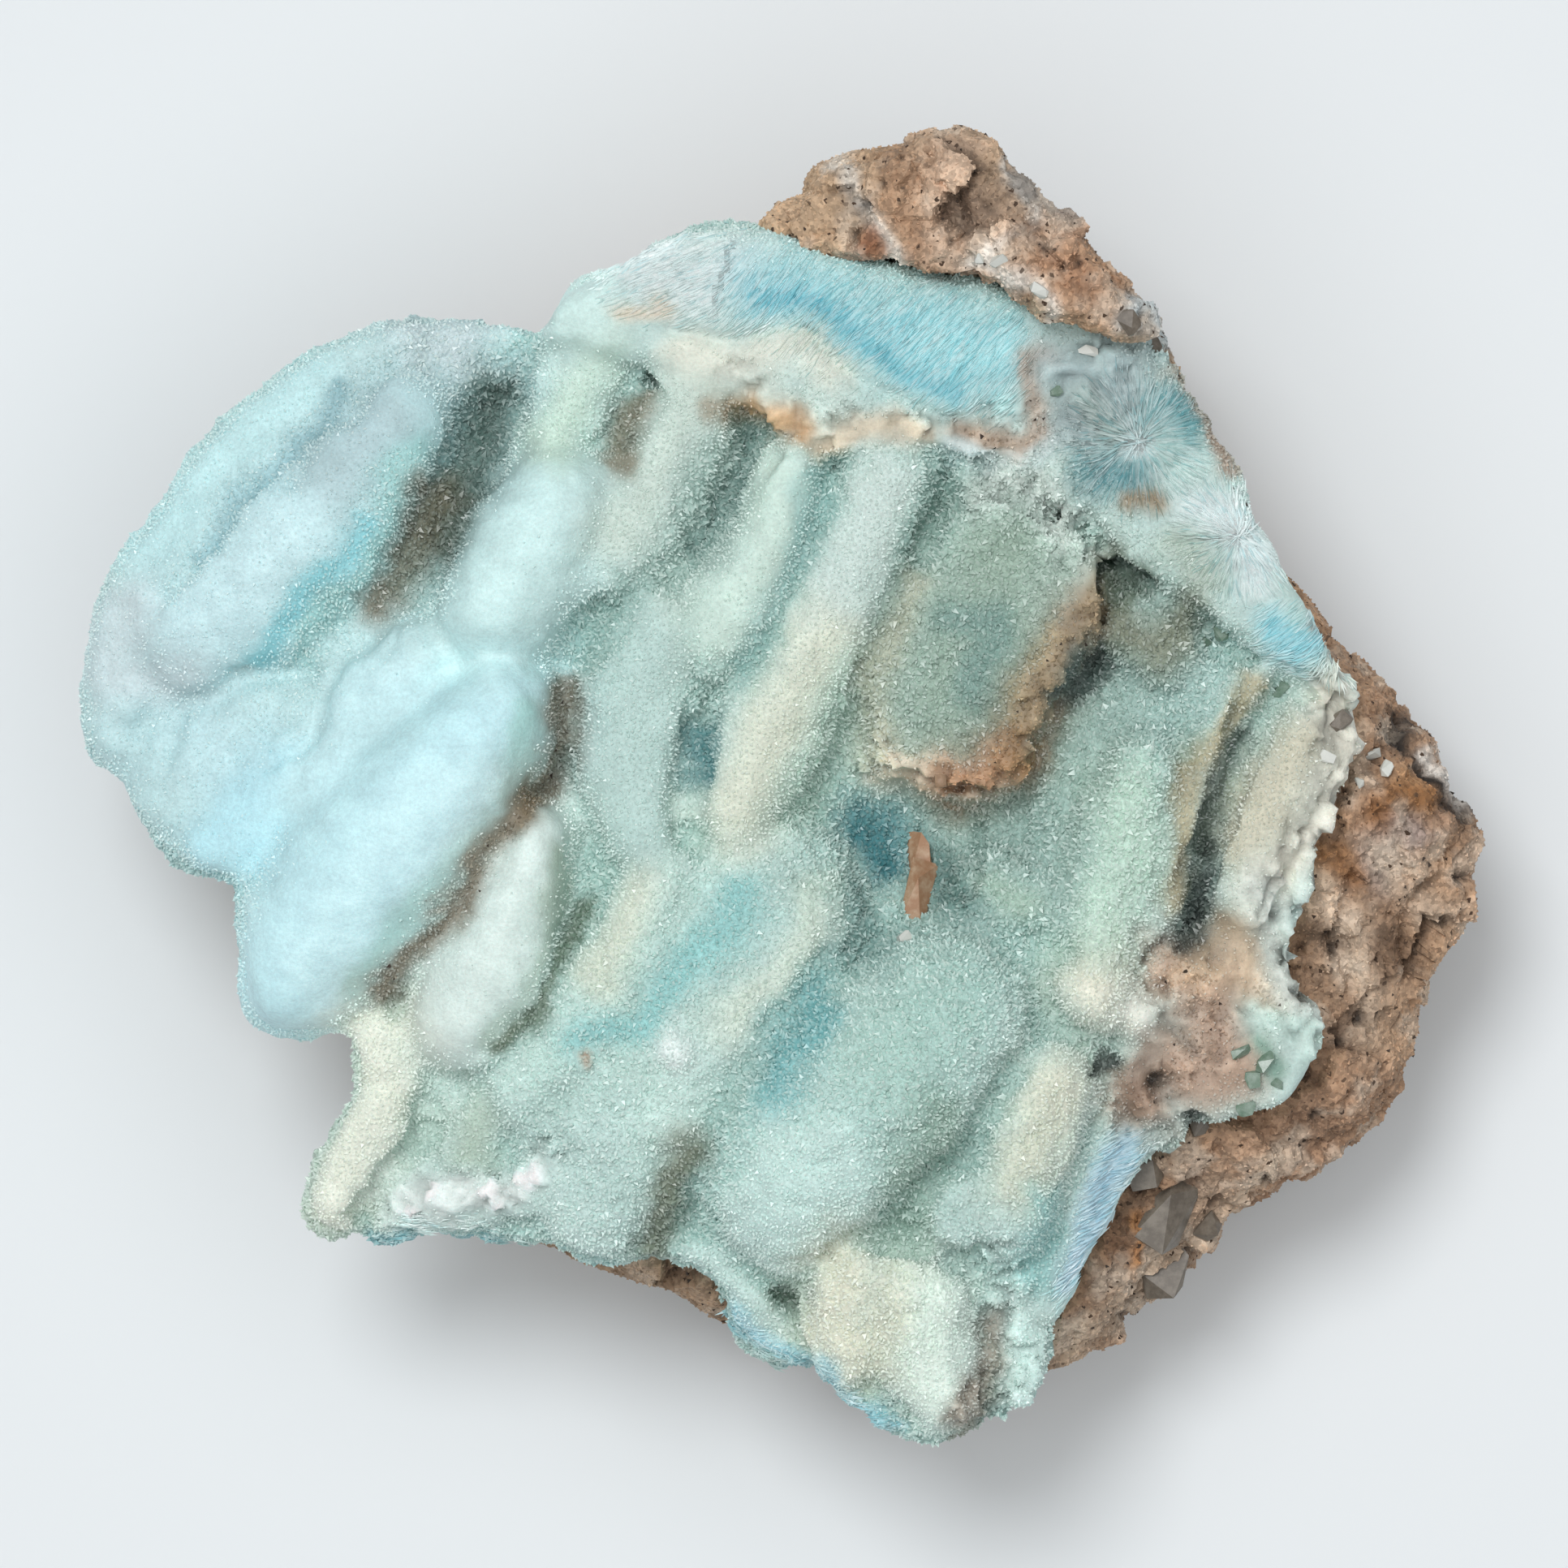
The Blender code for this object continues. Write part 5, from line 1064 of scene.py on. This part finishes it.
crystal = small_shape("crystal", [
    (0.29, 0.03, -0.08), (-0.04, 0.25, -0.08), (-0.27, -0.05, -0.08), (0.05, -0.26, -0.08),
    (0.06, 0.03, 0.34)],
    [(0, 3, 2, 1), (0, 1, 4), (1, 2, 4), (2, 3, 4), (3, 0, 4)], [0, 0, 0, 0, 1])
spreading = scatter_tree("Spread small shapes on a surface")
eastings = crust_places[:, 0]
for seed, (name, (west, east, spacing)) in enumerate(DRUSE_REGIONS.items()):
    set_attribute(crust.data, name, np.where((eastings >= west) & (eastings < east), druse * shown, 0))
    scattered(name, crust, spreading, "blue_aragonite", Shape=crystal, Mask=name, Spacing=spacing * MM,
              Smallest=0.6, Largest=1.3, Tilt=0.7, Turn=3.14, Follow=0.0, Finish=frosted, Seed=seed)
bpy.data.objects.remove(crystal)


# The fibres: bundles of long thin aragonite needles that the broken ledge, the sprays and the crust's thin
# edges show. They lie along the break, overlap and end raggedly.

# Silky needles: translucent aragonite, most of them in the crust's own colour, some whiter and some more
# turquoise, with a soft gloss along each one.
silky, silk_shader, nodes = new_material("silky_aragonite_needles", 0.38, 1.63)
tint = add_node(nodes, "ShaderNodeAttribute", {"attribute_name": "tint"}).outputs["Color"]
luck = add_node(nodes, "ShaderNodeAttribute", {"attribute_name": "luck"}).outputs["Fac"]
silk_white = add_node(nodes, "ShaderNodeMapRange", links={
    "Value": luck, "From Min": 0.3, "To Min": 0.0, "To Max": 0.5}).outputs["Result"]
silk_deep = add_node(nodes, "ShaderNodeMapRange", links={
    "Value": luck, "From Min": 0.25, "From Max": 0.0, "To Min": 0.0, "To Max": 0.35}).outputs["Result"]
silk_pale = add_node(nodes, "ShaderNodeMix", {"data_type": "RGBA"}, {
    "Factor": silk_white, "A": tint, "B": (*linear("#eef6f6"), 1)}).outputs["Result"]
silk = add_node(nodes, "ShaderNodeMix", {"data_type": "RGBA"}, {
    "Factor": silk_deep, "A": silk_pale, "B": (*linear("#7cc4cf"), 1)}).outputs["Result"]
nodes.links.new(silk, silk_shader.inputs["Base Color"])

needle = small_shape("needle", [
    (-1.1, 0, -0.05), (-0.2, 0.13, -0.05), (-0.2, -0.13, -0.05), (0, 0, 0.17), (1.2, 0.02, 0.04)],
    [(0, 1, 2), (1, 4, 2), (0, 3, 1), (1, 3, 4), (4, 3, 2), (2, 3, 0)], [0, 0.2, 0.2, 1, 0.6])
set_attribute(crust.data, "needles", fibre * shown * (0.62 + 0.5 * fractal(crust_places, 2.6, 2, 14)))
scattered("silky_needles", crust, spreading, "blue_aragonite", Shape=needle, Mask="needles",
          Spacing=0.3 * MM, Smallest=0.6, Largest=1.3, Tilt=0.16, Turn=0.2, Follow=1.0, Finish=silky,
          Seed=11)
bpy.data.objects.remove(needle)


# The sand: grains of the rock's own carbonate and quartz that stick to its broken faces, and to the crust
# along its tan edges and in the valleys beside the fingers.

SAND_STROKES = {  # tan grains that stick to the crust: reach and line in mm
    "plate_rim": (1.3, [(14, 0.2), (17, 0.8), (20.4, 3.4), (21.8, 7.6), (23.4, 10.4), (25.6, 13),
                        (27, 16.6)]),
    "pink_bank": (1.8, [(34, -15), (36.6, -20), (33, -26)]),
    "rust_band": (0.6, [(15, 31), (19, 30.2), (21.6, 30.4), (21.8, 33), (20.8, 36)]),
    "rim_rust": (0.8, [(33.4, 36), (36.6, 31.6), (38.6, 28), (39.4, 24), (41, 21.6)]),
    "finger_lee": (1.1, [(-18.8, 7), (-19.6, 2), (-23, -2.4), (-28, -8.6), (-33, -14.6), (-38, -20)]),
    "amber_sand": (1, [(41, -17), (44.6, -19.4)]),
    "fan_valley": (0.9, [(-30, 24.4), (-32, 19.6), (-35, 15)]),
}

# Sand grains: matt, in many tones of the rock's own colour, with a few dark ones, so that it looks gritty.
sandy, sand_shader, nodes = new_material("loose_sand_grains", 0.75, 1.55)
tint = add_node(nodes, "ShaderNodeAttribute", {"attribute_name": "tint"}).outputs["Color"]
luck = add_node(nodes, "ShaderNodeAttribute", {"attribute_name": "luck"}).outputs["Fac"]
sand_tone = add_node(nodes, "ShaderNodeMapRange", links={
    "Value": luck, "To Min": 0.72, "To Max": 1.4}).outputs["Result"]
sand_toned = add_node(nodes, "ShaderNodeVectorMath", {"operation": "SCALE"}, {
    0: tint, "Scale": sand_tone}).outputs["Vector"]
sand_dark = add_node(nodes, "ShaderNodeMapRange", links={
    "Value": luck, "From Min": 0.03, "From Max": 0.02}).outputs["Result"]
sand = add_node(nodes, "ShaderNodeMix", {"data_type": "RGBA"}, {
    "Factor": sand_dark, "A": sand_toned, "B": (*linear("#3d322a"), 1)}).outputs["Result"]
nodes.links.new(sand, sand_shader.inputs["Base Color"])

grain = small_shape("grain", [
    (0.26, 0.02, -0.04), (-0.14, 0.22, -0.04), (-0.13, -0.2, -0.05), (-0.02, 0.03, 0.2)],
    [(0, 2, 1), (0, 1, 3), (1, 2, 3), (2, 0, 3)], [0] * 4)
scattered("sand_on_the_rock", rock, spreading, "brown_rock", Shape=grain, Mask="grit", Spacing=0.46 * MM,
          Smallest=0.5, Largest=1.3, Tilt=0.6, Turn=3.14, Follow=0.0, Finish=sandy, Seed=21)
tan_sand = np.zeros(len(crust_places))
for reach, line in SAND_STROKES.values():
    tan_sand = np.maximum(tan_sand, stroke(drifting, line, reach, 4))
set_attribute(crust.data, "tan_sand", 0.9 * shown * tan_sand)
scattered("grains_on_the_crust", crust, spreading, "blue_aragonite", Shape=grain, Mask="tan_sand",
          Spacing=0.36 * MM, Smallest=0.6, Largest=1.3, Tilt=0.6, Turn=3.14, Follow=0.0, Finish=sandy,
          Seed=22)
bpy.data.objects.remove(grain)


# The broken crystals: glassy lumps of calcite and green aragonite that lie bare where the crust broke off,
# each one a small block with flat cleaved faces, grown into the ground that it stands on.

BLOCK_POINTS = 14  # chance points, whose hull is a block
BLOCK_SEED = 40
CHUNKS = {  # x, y, half length, half width and half height in mm, and turn in degrees, of each block
    "grey_calcite_blocks": [
        (33, -36.6, 3.8, 2.9, 1.8, 70), (32.6, -41.6, 3, 2.4, 1.5, 80), (30.8, -33.6, 1.9, 1.5, 1.2, 20),
        (36.4, -38, 1.8, 1.4, 1.1, 40),
        (29.4, 40, 1.4, 1, 0.9, 130), (31.4, 38.2, 1.3, 0.9, 0.8, 120), (47.8, 5.8, 1.3, 0.9, 0.9, 30),
        (35.8, -29.4, 1.2, 0.9, 0.7, 10)],
    "green_glassy_blocks": [
        (39.2, -22.8, 1, 0.7, 0.8, 30), (41.2, -23.6, 1.2, 0.7, 0.8, 60), (40.2, -25.2, 1.1, 0.8, 0.7, 100),
        (42.2, -25.6, 0.9, 0.6, 0.6, 150), (39.6, -27.8, 1, 0.7, 0.6, 20), (42.5, 8.5, 1.1, 0.7, 0.7, 50),
        (37.4, 13.4, 1, 0.7, 0.7, 100), (36, 12.4, 0.8, 0.6, 0.6, 40), (23, 33.8, 0.8, 0.5, 0.4, 30)],
    "white_chips": [
        (50.4, 2.8, 1.1, 0.7, 0.7, 20), (51.8, 1.6, 0.8, 0.6, 0.5, 70), (46.5, 2.6, 1.1, 0.6, 0.6, 160),
        (49.4, 0.4, 0.7, 0.5, 0.5, 100), (26, 37.5, 1, 0.5, 0.5, 170), (18.2, 45.2, 1, 0.6, 0.6, 30),
        (21.6, 42.6, 1.1, 0.6, 0.6, 140), (16.6, 45.4, 0.7, 0.5, 0.5, 80), (10, -13.1, 0.9, 0.6, 0.6, 30)],
    "tan_flake": [
        (11.4, -9.2, 3.6, 2, 1.7, 84), (11.5, -6.4, 3, 1.2, 1.2, 98)],
}


def glassy(name, hex_colour, cloud_colour, roughness, clear):
    """A translucent crystal: partly see-through by plain transmission, with clouds of a paler tone."""
    made, shader, nodes = new_material(name, roughness, 1.55)
    shader.inputs["Transmission Weight"].default_value = clear
    place = add_node(nodes, "ShaderNodeTexCoord").outputs["Object"]
    cloud = add_node(nodes, "ShaderNodeTexNoise", links={
        "Vector": place, "Scale": 1 / (1.2 * MM), "Detail": 5.0, "Roughness": 0.7}).outputs["Fac"]
    share = add_node(nodes, "ShaderNodeMapRange", links={
        "Value": cloud, "From Min": 0.42, "From Max": 0.66, "To Max": 0.6}).outputs["Result"]
    mixed = add_node(nodes, "ShaderNodeMix", {"data_type": "RGBA"}, {
        "Factor": share, "A": (*linear(hex_colour), 1), "B": (*linear(cloud_colour), 1)}).outputs["Result"]
    nodes.links.new(mixed, shader.inputs["Base Color"])
    return made


def block_corners(x, y, long, wide, high, turn, seed):
    """Chance points of one cleaved block, in mm, around its middle."""
    chance = np.random.default_rng(seed)
    ways = chance.normal(size=(BLOCK_POINTS, 3))
    ways /= np.linalg.norm(ways, axis=1)[:, None]
    ways = np.sign(ways) * np.abs(ways) ** 0.6
    spread = ways * np.array([long, wide, high]) * chance.uniform(0.75, 1.05, (BLOCK_POINTS, 1))
    cos, sin = math.cos(math.radians(turn)), math.sin(math.radians(turn))
    right = x + spread[:, 0] * cos - spread[:, 1] * sin
    far = y + spread[:, 0] * sin + spread[:, 1] * cos
    return np.stack([right, far, spread[:, 2]], 1)


# Grey calcite: smoky, glassy to frosted. Green aragonite: dark bottle green and glassy. White chips: frosted
# like sugar candy. The flake is a tan, waxy splinter of the crust itself.
chunk_finish = {  # finish and material slot of each group of blocks
    "grey_calcite_blocks": (glassy("smoky_grey_calcite", "#685f54", "#968d80", 0.35, 0.15), "brown_rock"),
    "green_glassy_blocks": (
        glassy("bottle_green_aragonite", "#7d9a86", "#c4d6cb", 0.2, 0.35), "blue_aragonite"),
    "white_chips": (glassy("frosted_white_calcite", "#d5d8d2", "#e8eae4", 0.5, 0.1), "blue_aragonite"),
    "tan_flake": (glassy("waxy_tan_splinter", "#a97f60", "#d3bda2", 0.55, 0.05), "blue_aragonite"),
}
ground = [search_tree(piece.data) for piece in (crust, rock)]
for name, blocks in CHUNKS.items():
    built = bmesh.new()
    for number, (x, y, long, wide, high, turn) in enumerate(blocks):
        tops = [tree.ray_cast(Vector((x * MM, y * MM, 0.1)), Vector((0, 0, -1)))[0] for tree in ground]
        level = max(top.z for top in tops if top is not None) / MM
        points = block_corners(x, y, long, wide, high, turn, BLOCK_SEED + number)
        points += np.array([0, 0, level + high * 0.1])
        corners = [built.verts.new(point * MM) for point in points]
        hull = bmesh.ops.convex_hull(built, input=corners)
        spare = hull["geom_interior"] + hull["geom_unused"]
        inside = {part for part in spare if isinstance(part, bmesh.types.BMVert)}
        bmesh.ops.delete(built, geom=list(inside), context="VERTS")
    mesh = bpy.data.meshes.new(name)
    built.to_mesh(mesh)
    built.free()
    finish, slot_name = chunk_finish[name]
    mesh.materials.append(finish)
    chunk = new_object(name, mesh)
    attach(chunk, "root")


# The table, the light and the camera: a pale matt surface under soft light from the upper left, seen by a
# long lens from straight above, as in the picture.

VIEW_MIDDLE = (-0.21, 0.26)  # mm, where the middle of the picture lies on the specimen
VIEW_WIDTH = 135.2  # mm across the picture at the height of the specimen's rim
VIEW_HEIGHT = 30  # mm, the height of that rim
CAMERA_DISTANCE = 2600  # mm, above that rim
TABLE_HALF = 3.0  # m
SKY_SHARE = 0.24  # of the light that falls on the table, from all round
LAMPS = {  # share of the light on the table, apparent size in degrees, and the direction it comes from
    "overhead_softbox": (0.4, 80, (0, 0, 1)),
    "key_lamp": (0.36, 22, (-0.22, 0.34, 1)),
}

table_mesh = bpy.data.meshes.new("table")
corners = [(x * TABLE_HALF, y * TABLE_HALF, 0) for x, y in ((-1, -1), (1, -1), (1, 1), (-1, 1))]
table_mesh.from_pydata(corners, [], [(0, 1, 2, 3)])
table = new_object("table", table_mesh)
matt, table_shader, nodes = new_material("matt_pale_paper", 1, 1.45)
table_shader.inputs["Base Color"].default_value = (*linear("#e8edf0"), 1)
table_shader.inputs["Specular IOR Level"].default_value = 0
table.data.materials.append(matt)

world = bpy.data.worlds.new("soft_studio")
world.use_nodes = True
world.node_tree.nodes["Background"].inputs["Color"].default_value = (1, 1, 1, 1)
world.node_tree.nodes["Background"].inputs["Strength"].default_value = SKY_SHARE
bpy.context.scene.world = world
for name, (share, size, direction) in LAMPS.items():
    from_lamp = Vector(direction).normalized()
    lamp = bpy.data.lights.new(name, "SUN")
    lamp.angle = math.radians(size)
    lamp.energy = share * math.pi / from_lamp.z
    new_object(name, lamp).rotation_euler = from_lamp.to_track_quat("Z", "Y").to_euler()

camera = bpy.data.cameras.new("camera")
camera.sensor_width = 36
camera.lens = camera.sensor_width * CAMERA_DISTANCE / VIEW_WIDTH
camera.clip_end = 20
camera_object = new_object("camera", camera)
camera_object.location = Vector((*VIEW_MIDDLE, CAMERA_DISTANCE + VIEW_HEIGHT)) * MM
bpy.context.scene.camera = camera_object
bpy.context.scene.view_settings.view_transform = "Standard"
